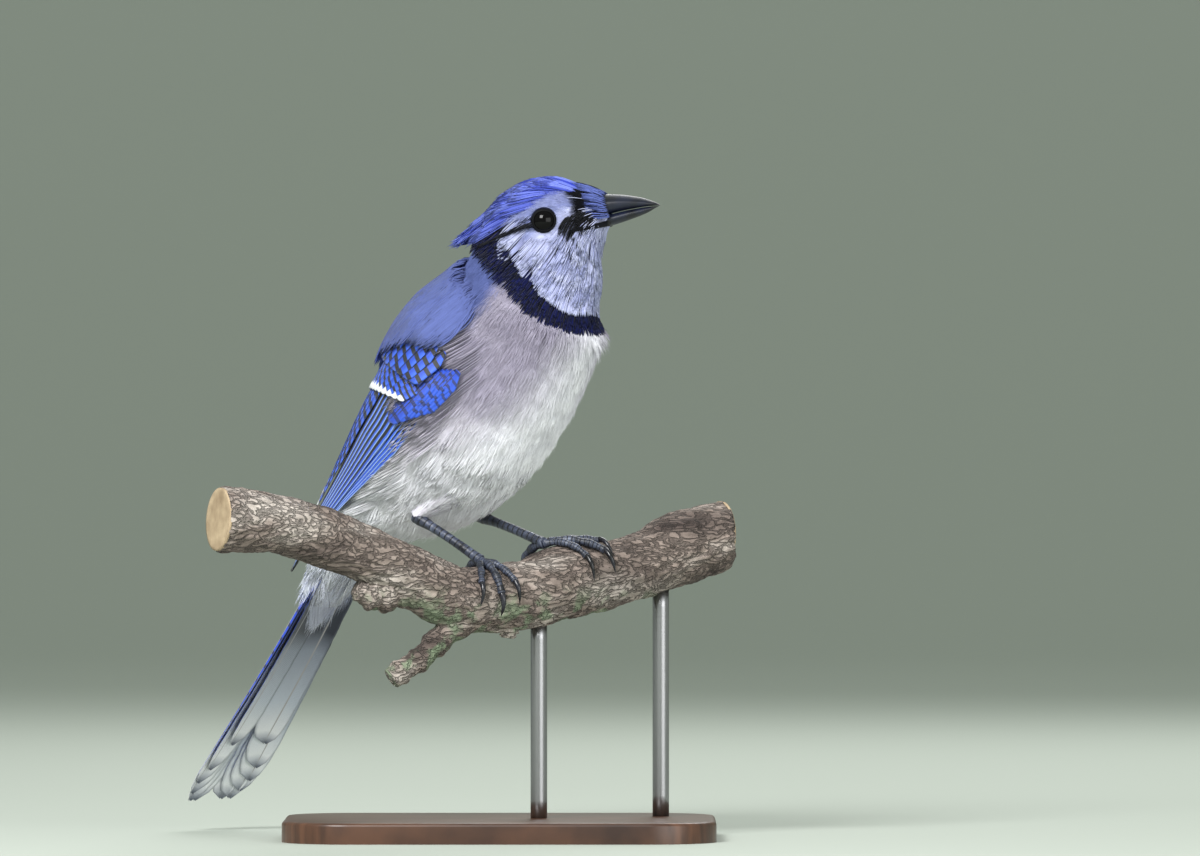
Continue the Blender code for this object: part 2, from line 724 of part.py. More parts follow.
def make_stand(parts, wood, steel):
    """The flat base and the two rods that carry the branch."""
    bpy.ops.mesh.primitive_cube_add(size=1.0, location=(0.0, 0.0, BASE_HEIGHT * MM / 2))
    base = bpy.context.object
    base.name = "stand_base"
    base.data.transform(Matrix.Diagonal((BASE_LENGTH * MM, BASE_DEPTH * MM, BASE_HEIGHT * MM, 1.0)))
    for old in list(base.users_collection):
        old.objects.unlink(base)
    parts.objects.link(base)
    base.data.materials.append(wood)
    work = bmesh.new()
    work.from_mesh(base.data)
    corners = [e for e in work.edges if abs(e.verts[0].co.z - e.verts[1].co.z) > 0.5 * BASE_HEIGHT * MM]
    bmesh.ops.bevel(work, geom=corners, offset=BASE_CORNER * MM, segments=8, profile=0.5, affect="EDGES")
    rim = [e for e in work.edges if min(v.co.z for v in e.verts) > 0.49 * BASE_HEIGHT * MM
           and any(abs(f.normal.z) < 0.5 for f in e.link_faces)]
    bmesh.ops.bevel(work, geom=rim, offset=1.4 * MM, segments=2, profile=0.5, affect="EDGES")
    work.to_mesh(base.data)
    work.free()
    shade(base)
    for k, x in enumerate(ROD_X):
        middle, _, _ = branch_at(x)
        bottom = BASE_HEIGHT + GAP
        height = middle[2] - bottom
        bpy.ops.mesh.primitive_cylinder_add(
            vertices=ROD_SIDES, radius=ROD_RADIUS * MM, depth=height * MM,
            location=(x * MM, middle[1] * MM, (bottom + height / 2) * MM))
        rod = bpy.context.object
        rod.name = f"stand_rod_{k + 1}"
        for old in list(rod.users_collection):
            old.objects.unlink(rod)
        parts.objects.link(rod)
        rod.data.materials.append(steel)
        boolean(rod, "DIFFERENCE", branch_object("rod_cutter", parts, None, GAP))
        keep_largest(rod)
        shade(rod)


# Legs

LEGS = {
    # hand, ankle, foot on the branch (x, turn round the branch), knee inside the belly feathers
    "right": (1, (-32.0, 4.0, 124.6), -6.5, (-13.0, 0.0, 140.0)),
    "left": (-1, (-8.0, 20.5, 124.8), 21.0, (2.0, 14.0, 143.0)),
}
TARSUS_RADII = (2.3, 1.75, 1.55, 1.6, 2.0)
THIGH_RADII = (2.6, 4.0, 5.6, 7.4)
TOE_RADIUS = 1.55
FOOT_LIFT = 2.2
TOES = {
    # name, turn reached round the branch, slide along it, radius share; a negative turn goes behind
    "right": (("inner", 62.0, -5.5, 0.9), ("middle", 80.0, 1.5, 1.0),
              ("outer", 62.0, 7.5, 0.9), ("hind", -66.0, -2.0, 1.05)),
    "left": (("inner", 54.0, 8.0, 0.9), ("middle", 46.0, 16.0, 1.0),
             ("outer", 16.0, 17.5, 0.9), ("hind", -58.0, -4.0, 1.05)),
}
CLAW_TURN = 30.0
CLAW_RADII = (1.25, 0.95, 0.6, 0.22)


def on_branch(x, turn, height):
    """A point at a height above the bark, turned from the top of the branch towards the viewer."""
    middle, radius, run = branch_at(x)
    side = np.cross(run, (0.0, 0.0, 1.0))
    side /= np.linalg.norm(side)
    up = np.cross(side, run)
    a = math.radians(turn)
    return middle + (radius + height) * (math.cos(a) * up + math.sin(a) * side)


def toe_path(x, turn, slide, start=0.0, steps=6, height=TOE_RADIUS):
    """Points of a toe that grips the branch, from the foot's middle to the claw's root."""
    return [on_branch(x + slide * share ** 0.8, start + (turn - start) * share, height)
            for share in np.linspace(0.0, 1.0, steps)]


def make_leg(side_name, parts, finishes):
    """Thigh, shank, foot and claws of one leg."""
    hand, ankle, foot_x, knee = LEGS[side_name]
    ankle, knee = np.array(ankle), np.array(knee)
    foot = on_branch(foot_x, 0.0, FOOT_LIFT)
    thigh_points = [ankle + (knee - ankle) * share for share in (0.1, 0.3, 0.6, 1.0)]
    thigh = limb(f"thigh_{side_name}", thigh_points, THIGH_RADII, parts, finishes["feather"], 3)
    boolean(thigh, "DIFFERENCE",
            body_length("thigh_cutter", NECK_CUT, COVERT_CUT, 24, 28, parts, None, GAP))
    keep_largest(thigh)
    shade(thigh)
    down = (foot - ankle) / np.linalg.norm(foot - ankle)
    shank_end = foot + down * 0.2
    shank_start = ankle + (ankle - knee) / np.linalg.norm(ankle - knee) * 1.6
    points = [shank_start + (shank_end - shank_start) * share for share in np.linspace(0.0, 1.0, 5)]
    core = limb(f"leg_{side_name}", points, TARSUS_RADII, parts, finishes["scale"], 3)
    group = helper_collection(f"leg_{side_name}_pieces")
    for name, turn, slide, share in TOES[side_name]:
        lift = TOE_RADIUS * share + GAP
        path = toe_path(foot_x, turn, slide, height=lift)
        radii = [TOE_RADIUS * share * (1.0 - 0.14 * k / 5) for k in range(6)]
        limb(f"toe_{name}", path, radii, group, None)
        sign = 1.0 if turn > 0 else -1.0
        claw_points = []
        for k, part in enumerate((0.0, 0.35, 0.7, 1.0)):
            at = turn + sign * (5.0 + CLAW_TURN * part)
            arch = lift + 0.9 * math.sin(math.pi * min(part + 0.15, 1.0)) - 0.5 * part
            claw_points.append(on_branch(foot_x + slide * (1.0 + 0.12 * part), at, arch))
        shade(limb(f"claw_{name}_{side_name}", claw_points, np.array(CLAW_RADII) * share,
                   parts, finishes["claw"], 2))
    fuse(core, group)
    boolean(core, "DIFFERENCE",
            body_length("leg_cutter", NECK_CUT, COVERT_CUT, 24, 28, parts, None, GAP))
    keep_largest(core)
    shade(core)


def main():
    clear_scene()
    parts = bpy.data.collections.new("blue_jay")
    bpy.context.scene.collection.children.link(parts)
    white = material("belly_feather", (0.62, 0.60, 0.66), 0.85)
    blue = material("blue_feather", (0.16, 0.22, 0.62), 0.7)
    bright = material("wing_feather", (0.03, 0.12, 0.62), 0.55)
    horn = material("bill_horn", (0.03, 0.035, 0.06), 0.35)
    dark = material("eye_dark", (0.01, 0.008, 0.008), 0.08)
    scale = material("leg_scale", (0.04, 0.045, 0.06), 0.5)
    claw = material("claw_horn", (0.02, 0.02, 0.025), 0.35)
    bark = material("bark", (0.35, 0.29, 0.25), 0.9)
    wood = material("stand_wood", (0.10, 0.06, 0.04), 0.45)
    steel = material("stand_steel", (0.55, 0.55, 0.56), 0.3, 1.0)

    torso = body_length("torso", shift_along(NECK_CUT, GAP), COVERT_CUT, 18, 24, parts, white)
    shade(torso)
    neck = body_length("neck", shift_along(HEAD_CUT, GAP), NECK_CUT, 7, 24, parts, blue)
    shade(neck)
    make_head(parts, blue)
    for side_name, hand in (("right", 1), ("left", -1)):
        centre, _ = eye_frame(hand)
        shade(eyeball(f"eye_{side_name}", centre, EYE_RADIUS, parts, dark))
        make_wing(side_name, hand, parts, bright)
        make_leg(side_name, parts, {"feather": white, "scale": scale, "claw": claw})
    make_bill(parts, horn)
    make_tail(parts, bright)
    make_branch(parts, bark)
    make_stand(parts, wood, steel)


main()
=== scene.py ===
"""Looks of a life-size blue jay that grips a cut length of branch on a plain stand.

Lengths in the code are in millimetres and angles in degrees; MM turns them into metres when a mesh is
made. +X runs to the viewer's right, +Y away from the viewer and +Z up.
"""

import json
import logging
import math
from dataclasses import dataclass, field
from enum import Enum
from functools import cached_property

import bmesh
import bpy
import numpy as np
from mathutils import Matrix, Vector

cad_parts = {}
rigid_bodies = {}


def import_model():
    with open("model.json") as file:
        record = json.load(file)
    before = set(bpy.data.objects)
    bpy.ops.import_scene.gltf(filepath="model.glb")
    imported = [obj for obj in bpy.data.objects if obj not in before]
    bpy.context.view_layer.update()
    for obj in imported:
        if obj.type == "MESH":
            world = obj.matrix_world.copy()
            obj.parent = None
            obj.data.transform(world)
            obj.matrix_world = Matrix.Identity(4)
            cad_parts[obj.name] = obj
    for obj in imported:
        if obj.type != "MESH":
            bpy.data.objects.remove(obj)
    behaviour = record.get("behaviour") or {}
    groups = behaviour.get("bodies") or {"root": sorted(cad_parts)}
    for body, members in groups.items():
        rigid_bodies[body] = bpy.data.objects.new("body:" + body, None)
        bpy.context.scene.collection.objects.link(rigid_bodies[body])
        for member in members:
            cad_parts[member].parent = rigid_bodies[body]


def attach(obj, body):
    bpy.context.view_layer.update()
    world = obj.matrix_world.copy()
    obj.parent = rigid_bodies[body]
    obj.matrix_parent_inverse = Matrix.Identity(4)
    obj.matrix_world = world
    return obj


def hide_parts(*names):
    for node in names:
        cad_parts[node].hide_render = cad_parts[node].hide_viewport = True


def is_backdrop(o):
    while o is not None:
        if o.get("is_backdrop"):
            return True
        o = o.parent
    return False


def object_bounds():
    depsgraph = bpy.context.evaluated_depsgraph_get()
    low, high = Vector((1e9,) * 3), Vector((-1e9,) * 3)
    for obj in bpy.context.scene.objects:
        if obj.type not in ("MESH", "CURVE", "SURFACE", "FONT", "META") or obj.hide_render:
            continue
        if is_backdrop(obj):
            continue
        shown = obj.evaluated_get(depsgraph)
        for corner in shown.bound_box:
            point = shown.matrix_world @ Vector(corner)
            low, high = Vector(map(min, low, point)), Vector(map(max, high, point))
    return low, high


LOG = logging.getLogger("blue_jay")
MM = 0.001
SEED = 17
SIDES = (("right", 1), ("left", -1))
# Size of one tuft's or strand's patch on the OFBake map.
PATCH = 0.003
# Points along each strand, and their places from root to tip.
STRAND_ROWS = 7
SHARES = np.linspace(0, 1, STRAND_ROWS)
Array = np.ndarray
Row = tuple[float, ...]
Rows = tuple[Row, ...]
Triple = tuple[float, float, float]
Object = bpy.types.Object
Material = bpy.types.Material


def colour(red: int, green: int, blue: int) -> Triple:
    """Turns a display colour of 0 to 255 into a linear one."""
    def linear(value: int) -> float:
        share = value / 255.0
        return share / 12.92 if share <= 0.04045 else ((share + 0.055) / 1.055) ** 2.4
    return linear(red), linear(green), linear(blue)


class Tint:
    """The plumage's named colours."""

    CROWN = colour(72, 86, 186)
    CROWN_PALE = colour(128, 142, 222)
    CROWN_DEEP = colour(26, 46, 168)
    MANTLE = colour(92, 104, 160)
    MANTLE_DEEP = colour(48, 70, 166)
    NASAL = colour(88, 102, 166)
    FACE = colour(194, 198, 228)
    BROW = colour(124, 134, 188)
    FACE_SHADE = colour(160, 166, 208)
    NECKLACE = colour(8, 10, 24)
    LORE = colour(5, 6, 14)
    BREAST = colour(162, 156, 174)
    FLANK = colour(216, 210, 222)
    BELLY = colour(244, 244, 248)
    VENT = colour(240, 242, 246)
    UNDERTAIL = colour(222, 226, 242)
    WING_BLUE = colour(14, 70, 200)
    WING_SOFT = colour(44, 98, 226)
    WING_PALE = colour(160, 190, 246)
    WING_BLACK = colour(5, 7, 16)
    WHITE = colour(250, 251, 255)
    TAIL_UNDER = colour(50, 55, 72)
    TAIL_PALE = colour(206, 214, 228)
    SHAFT = colour(176, 172, 176)
    SKIN = colour(60, 58, 70)


def smooth(xs: Array, ys: Array, x: Array) -> Array:
    """Cubic Hermite curve through the points (xs, ys), with slopes from their neighbours.

    Args:
        xs: Rising positions.
        ys: Values at those positions.
        x: Where to read the curve.

    Returns:
        The values at x.
    """
    xs, ys, x = np.asarray(xs, float), np.asarray(ys, float), np.asarray(x, float)
    slope = np.gradient(ys, xs)
    i = np.clip(np.searchsorted(xs, x) - 1, 0, len(xs) - 2)
    step = xs[i + 1] - xs[i]
    u = np.clip((x - xs[i]) / step, 0.0, 1.0)
    rise = 3 * u * u - 2 * u ** 3
    return (ys[i] * (1 - rise) + ys[i + 1] * rise
            + step * slope[i] * (u ** 3 - 2 * u * u + u) + step * slope[i + 1] * (u ** 3 - u * u))


def step(low: float, high: float, x: Array) -> Array:
    """A smooth ramp from 0 at low to 1 at high."""
    share = np.clip((np.asarray(x, float) - low) / (high - low), 0.0, 1.0)
    return share * share * (3 - 2 * share)


def unit(v: Array) -> Array:
    """Vectors scaled to length one."""
    return v / np.maximum(np.linalg.norm(v, axis=-1, keepdims=True), 1e-9)


def mix(a: Array, b: Array, share: Array) -> Array:
    """Blends two colours, or rows of colours, by a share per row."""
    share = np.asarray(share, float)[..., None]
    return np.asarray(a, float) * (1 - share) + np.asarray(b, float) * share


def axes(yaw: Array, pitch: Array) -> tuple[Array, Array, Array]:
    """Forward, dorsal and right unit vectors for headings turned to the viewer and pitched up."""
    y, p = np.radians(yaw), np.radians(pitch)
    zero = np.zeros_like(y * p)
    forward = np.stack([np.cos(y) * np.cos(p), -np.sin(y) * np.cos(p), np.sin(p) + zero], axis=-1)
    dorsal = np.stack([-np.cos(y) * np.sin(p), np.sin(y) * np.sin(p), np.cos(p) + zero], axis=-1)
    return forward, dorsal, np.cross(forward, dorsal)


def add_node(tree: bpy.types.NodeTree, kind: str, inputs: dict, settings: dict) -> bpy.types.Node:
    """Adds a node.

    Args:
        tree: Tree that takes the node.
        kind: Type of the node.
        inputs: Sockets to link, or constants to set, by input name or number.
        settings: Properties of the node.

    Returns:
        The node.
    """
    node = tree.nodes.new(kind)
    for key, value in settings.items():
        setattr(node, key, value)
    for key, value in inputs.items():
        if isinstance(value, bpy.types.NodeSocket):
            tree.links.new(value, node.inputs[key])
        else:
            node.inputs[key].default_value = value
    return node


def between(pair: Row, share: Array) -> Array:
    """A value part of the way from the first of a pair to the second."""
    return pair[0] + (pair[1] - pair[0]) * share


@dataclass(frozen=True)
class BodyShape:
    """The outline of the bird's body as sections from the bill's root to the tail coverts."""

    trunk_yaw: float = 38.0
    trunk_pitch: float = 50.0
    trunk_centre: Triple = (-11.5, 10.0, 168.8)
    head: Rows = (
        (40.2, -13.8, 241.7, 24.5, 6.0, 6.8, 6.9, 6.4),
        (37.7, -13.5, 241.9, 24.5, 6.0, 9.0, 9.2, 8.2),
        (34.6, -13.2, 242.0, 27.5, 6.0, 12.0, 12.2, 10.4),
        (30.2, -12.7, 240.9, 34.0, 6.0, 15.6, 15.8, 13.0),
        (25.6, -12.2, 238.0, 41.0, 8.0, 19.6, 19.6, 15.4),
        (21.5, -11.6, 233.2, 47.0, 10.0, 23.0, 23.5, 17.2),
        (17.9, -10.8, 227.4, 51.5, 14.0, 25.5, 26.5, 18.4),
        (15.2, -10.0, 220.5, 55.0, 20.0, 27.0, 27.5, 20.0),
        (13.3, -9.2, 213.2, 57.5, 28.0, 28.5, 30.0, 23.4),
        (11.7, -8.2, 206.1, 60.0, 34.0, 29.5, 33.0, 26.5),
    )
    trunk: Rows = (
        (30.0, 0.0, 34.0, 37.0, 29.5),
        (18.0, 0.0, 33.2, 37.6, 31.5),
        (4.0, 0.0, 32.0, 38.0, 32.0),
        (-12.0, 0.0, 29.4, 36.0, 31.0),
        (-28.0, 0.5, 27.0, 32.0, 28.0),
        (-42.0, 2.5, 23.0, 27.0, 24.0),
        (-56.0, 5.5, 17.5, 19.5, 20.0),
        (-70.0, 8.5, 11.5, 13.5, 17.0),
        (-84.0, 9.6, 7.0, 9.4, 15.6),
        (-98.0, 8.8, 4.4, 6.6, 13.6),
        (-108.0, 7.4, 2.8, 4.4, 10.0),
    )

    def trunk_point(self, along: Array, up: Array, right: Array) -> Array:
        """Points given along the trunk's axis, towards its back and to its right."""
        forward, dorsal, side = axes(self.trunk_yaw, self.trunk_pitch)
        return (np.array(self.trunk_centre) + np.asarray(along)[..., None] * forward
                + np.asarray(up)[..., None] * dorsal + np.asarray(right)[..., None] * side)

    @cached_property
    def table(self) -> Array:
        """Every section as a row of place, pitch, yaw and three reaches."""
        rows = [list(row) for row in self.head]
        for along, lift, back, belly, side in self.trunk:
            place = self.trunk_point(np.array(along), np.array(lift), np.array(0.0))
            rows.append([*place, self.trunk_pitch, self.trunk_yaw, back, belly, side])
        return np.array(rows)

    @property
    def end(self) -> float:
        """The last section's parameter."""
        return float(len(self.head) + len(self.trunk) - 1)

    def sections(self, s: Array) -> Array:
        """Interpolated section rows at the parameters s."""
        table = self.table
        return np.stack([smooth(np.arange(len(table)), column, s) for column in table.T], axis=-1)

    def points(self, s: Array, angle: Array, height: Array | float = 0.0) -> Array:
        """Points on the body.

        Args:
            s: Section parameters, 0 at the bill's root.
            angle: 0 on the back's midline, 90 on the bird's right, 180 on the belly.
            height: Distance outside the outline.

        Returns:
            An array of points whose shape is that of s with a last axis of three.
        """
        s, angle = np.broadcast_arrays(np.asarray(s, float), np.asarray(angle, float))
        rows = self.sections(s)
        _, dorsal, right = axes(rows[..., 4], rows[..., 3])
        a = np.radians(angle)
        reach = np.where(np.cos(a) > 0, rows[..., 5], rows[..., 6]) + height
        side = rows[..., 7] + height
        return (rows[..., :3] + dorsal * (np.cos(a) * reach)[..., None]
                + right * (np.sin(a) * side)[..., None])

    def normals(self, s: Array, angle: Array) -> Array:
        """Outward unit normals of the outline."""
        ahead = self.points(np.clip(s - 0.05, 0, self.end), angle) - self.points(
            np.clip(s + 0.05, 0, self.end), angle)
        round_ = self.points(s, np.asarray(angle) + 1.0) - self.points(s, np.asarray(angle) - 1.0)
        return unit(np.cross(round_, ahead))


class Builder:
    """Makes plain mesh objects from arrays."""

    @staticmethod
    def mesh(name: str, points: Array, faces: list, finish: Material | None = None,
             uvs: Array | None = None) -> Object:
        """Makes a mesh object.

        Args:
            name: Object name.
            points: Vertices in millimetres.
            faces: Vertex index tuples.
            finish: Material to give it.
            uvs: One pair per vertex for the OFBake map.

        Returns:
            The object, linked to the scene.
        """
        mesh = bpy.data.meshes.new(name)
        mesh.from_pydata((np.asarray(points) * MM).tolist(), [], faces)
        mesh.update()
        made = bpy.data.objects.new(name, mesh)
        bpy.context.scene.collection.objects.link(made)
        if finish is not None:
            mesh.materials.append(finish)
        if uvs is not None:
            layer = mesh.uv_layers.new(name="OFBake")
            loops = np.empty(len(mesh.loops), np.int32)
            mesh.loops.foreach_get("vertex_index", loops)
            layer.data.foreach_set("uv", np.asarray(uvs, np.float32)[loops].reshape(-1))
        mesh.shade_smooth()
        return made

    @staticmethod
    def face_out(made: Object, weld: bool = False) -> None:
        """Turns the faces of a closed mesh outwards, after joining points that coincide if weld is set."""
        work = bmesh.new()
        work.from_mesh(made.data)
        if weld:
            bmesh.ops.remove_doubles(work, verts=work.verts, dist=1e-7)
        bmesh.ops.recalc_face_normals(work, faces=work.faces)
        work.to_mesh(made.data)
        work.free()

    @staticmethod
    def attribute(made: Object, name: str, kind: str, values: Array) -> None:
        """Stores a value per vertex under a name."""
        made.data.attributes.new(name, kind, "POINT")
        layer = made.data.attributes[name]
        key = {"FLOAT": "value", "FLOAT_VECTOR": "vector", "FLOAT_COLOR": "color"}[kind]
        layer.data.foreach_set(key, np.asarray(values, np.float32).reshape(-1))

    @classmethod
    def tint(cls, made: Object, tints: Array) -> None:
        """Stores one colour per vertex."""
        cls.attribute(made, "tint", "FLOAT_COLOR", np.hstack([tints, np.ones((len(tints), 1))]))

    @staticmethod
    def grid_faces(rows: int, columns: int, wrap: bool = False, offset: int = 0) -> list:
        """Quads over a grid of points, joined round if wrap is set."""
        faces = []
        for i in range(rows - 1):
            for j in range(columns if wrap else columns - 1):
                a, b = i * columns + j, i * columns + (j + 1) % columns
                faces.append((offset + a, offset + b, offset + b + columns, offset + a + columns))
        return faces

    @classmethod
    def loft(cls, name: str, rings: Array, finish: Material) -> Object:
        """A closed loft through rings of points, with a fan over each end."""
        rings = np.asarray(rings)
        rows, columns = rings.shape[:2]
        points = list(rings.reshape(-1, 3)) + [rings[0].mean(axis=0), rings[-1].mean(axis=0)]
        faces = cls.grid_faces(rows, columns, wrap=True)
        for end, middle in ((0, rows * columns), (rows - 1, rows * columns + 1)):
            for j in range(columns):
                a, b = end * columns + j, end * columns + (j + 1) % columns
                faces.append((middle, b, a) if end == 0 else (middle, a, b))
        made = cls.mesh(name, np.array(points), faces, finish)
        cls.face_out(made)
        cls.unwrap_rings(made, rows, columns)
        return made

    @staticmethod
    def unwrap_rings(made: Object, rows: int, columns: int) -> None:
        """Gives a loft a UV map whose columns run round it and rows along it."""
        layer = made.data.uv_layers.new(name="OFBake")
        for polygon in made.data.polygons:
            ids = [made.data.loops[k].vertex_index for k in polygon.loop_indices]
            near = [i % columns for i in ids if i < rows * columns]
            wraps = near and max(near) - min(near) > columns // 2
            for k in polygon.loop_indices:
                i = made.data.loops[k].vertex_index
                if i >= rows * columns:
                    u, v = (sum(near) / len(near) + 0.5) / (columns + 1), 0.0 if i == rows * columns else 1.0
                else:
                    column = i % columns + (columns if wraps and i % columns < columns // 2 else 0)
                    u, v = column / (columns + 1), 0.03 + 0.94 * (i // columns) / (rows - 1)
                layer.data[k].uv = (u * 0.98 + 0.01, v)

    @classmethod
    def tube(cls, name: str, path: Array, radii: Array, finish: Material, sides: int) -> Object:
        """A tapered tube along a path.

        Args:
            name: Object name.
            path: Points of the middle line.
            radii: One radius per point.
            finish: Material.
            sides: Points round each ring.

        Returns:
            The tube as a closed mesh object.
        """
        path = np.asarray(path, float)
        runs = unit(np.gradient(path, axis=0))
        guide = np.array([0.0, 0.0, 1.0]) if abs(runs[0][2]) < 0.85 else np.array([0.0, 1.0, 0.0])
        rings = []
        for place, run, radius in zip(path, runs, radii):
            side = unit(np.cross(run, guide))
            guide = unit(np.cross(side, run))
            a = np.linspace(0, 2 * math.pi, sides, endpoint=False)[:, None]
            rings.append(place + radius * (np.cos(a) * side + np.sin(a) * guide))
        return cls.loft(name, np.array(rings), finish)


class Finish:
    """Makes materials from shader nodes."""

    def __init__(self, name: str, base: Triple, roughness: float,
                 metallic: float = 0.0) -> None:
        """Starts a Principled material with constant values on its own sockets."""
        self.made = bpy.data.materials.new(name)
        self.made.use_nodes = True
        self.shader = self.made.node_tree.nodes["Principled BSDF"]
        self.set("Base Color", (*base, 1.0))
        self.set("Roughness", roughness)
        self.set("Metallic", metallic)

    def set(self, socket: str, value: float | tuple) -> None:
        """Sets a constant on the shader's socket."""
        self.shader.inputs[socket].default_value = value

    def join(self, source: object, target: object) -> None:
        """Links two sockets."""
        self.made.node_tree.links.new(source, target)

    def add(self, kind: str, inputs: dict | None = None, **settings: object) -> bpy.types.Node:
        """Adds a node with its inputs and properties."""
        return add_node(self.made.node_tree, kind, inputs or {}, settings)

    def place(self) -> object:
        """Object coordinates."""
        return self.add("ShaderNodeTexCoord").outputs["Object"]

    def split(self, vector: object) -> object:
        """The three parts of a vector."""
        return self.add("ShaderNodeSeparateXYZ", {0: vector}).outputs

    def noise(self, scale: float, detail: float = 3.0, stretch: tuple | None = None,
              vector: object = None) -> object:
        """A noise value over Object coordinates, or over the vector given."""
        vector = self.place() if vector is None else vector
        if stretch is not None:
            vector = self.add("ShaderNodeMapping", {"Scale": stretch, "Vector": vector}).outputs["Vector"]
        return self.add("ShaderNodeTexNoise", {"Scale": scale, "Detail": detail, "Vector": vector}).outputs["Fac"]

    def ramp(self, value: object, stops: tuple) -> object:
        """Maps a value to colours at the stops given as (place, colour)."""
        node = self.add("ShaderNodeValToRGB", {"Fac": value})
        points = node.color_ramp.elements
        points.remove(points[-1])
        points[0].position, points[0].color = stops[0][0], (*stops[0][1], 1.0)
        for place, tint in stops[1:]:
            points.new(place).color = (*tint, 1.0)
        return node.outputs["Color"]

    def attribute(self, name: str, output: str = "Color") -> object:
        """Reads a named attribute."""
        return self.add("ShaderNodeAttribute", attribute_name=name).outputs[output]

    def blend(self, a: object, b: object, share: object, mode: str = "MIX") -> object:
        """Mixes two colours, each a socket or a constant, by a socket or a number."""
        first, second = ((*value, 1.0) if isinstance(value, tuple) else value for value in (a, b))
        return self.add("ShaderNodeMix", {0: share, 6: first, 7: second}, data_type="RGBA", blend_type=mode).outputs[2]

    def math(self, operation: str, a: object, b: object = 0.0) -> object:
        """A math node over sockets or numbers."""
        return self.add("ShaderNodeMath", {0: a, 1: b}, operation=operation).outputs[0]

    def between(self, value: object, low: float, high: float) -> object:
        """A smooth ramp from 0 at low to 1 at high."""
        return self.add("ShaderNodeMapRange", {"From Min": low, "From Max": high, "Value": value},
                        interpolation_type="SMOOTHSTEP").outputs["Result"]

    def paint(self, source: object) -> None:
        """Links the base colour."""
        self.join(source, self.shader.inputs["Base Color"])

    def bump(self, height: object, strength: float, distance: float) -> None:
        """Links a bump from a height value."""
        node = self.add("ShaderNodeBump", {"Strength": strength, "Distance": distance, "Height": height})
        self.join(node.outputs["Normal"], self.shader.inputs["Normal"])


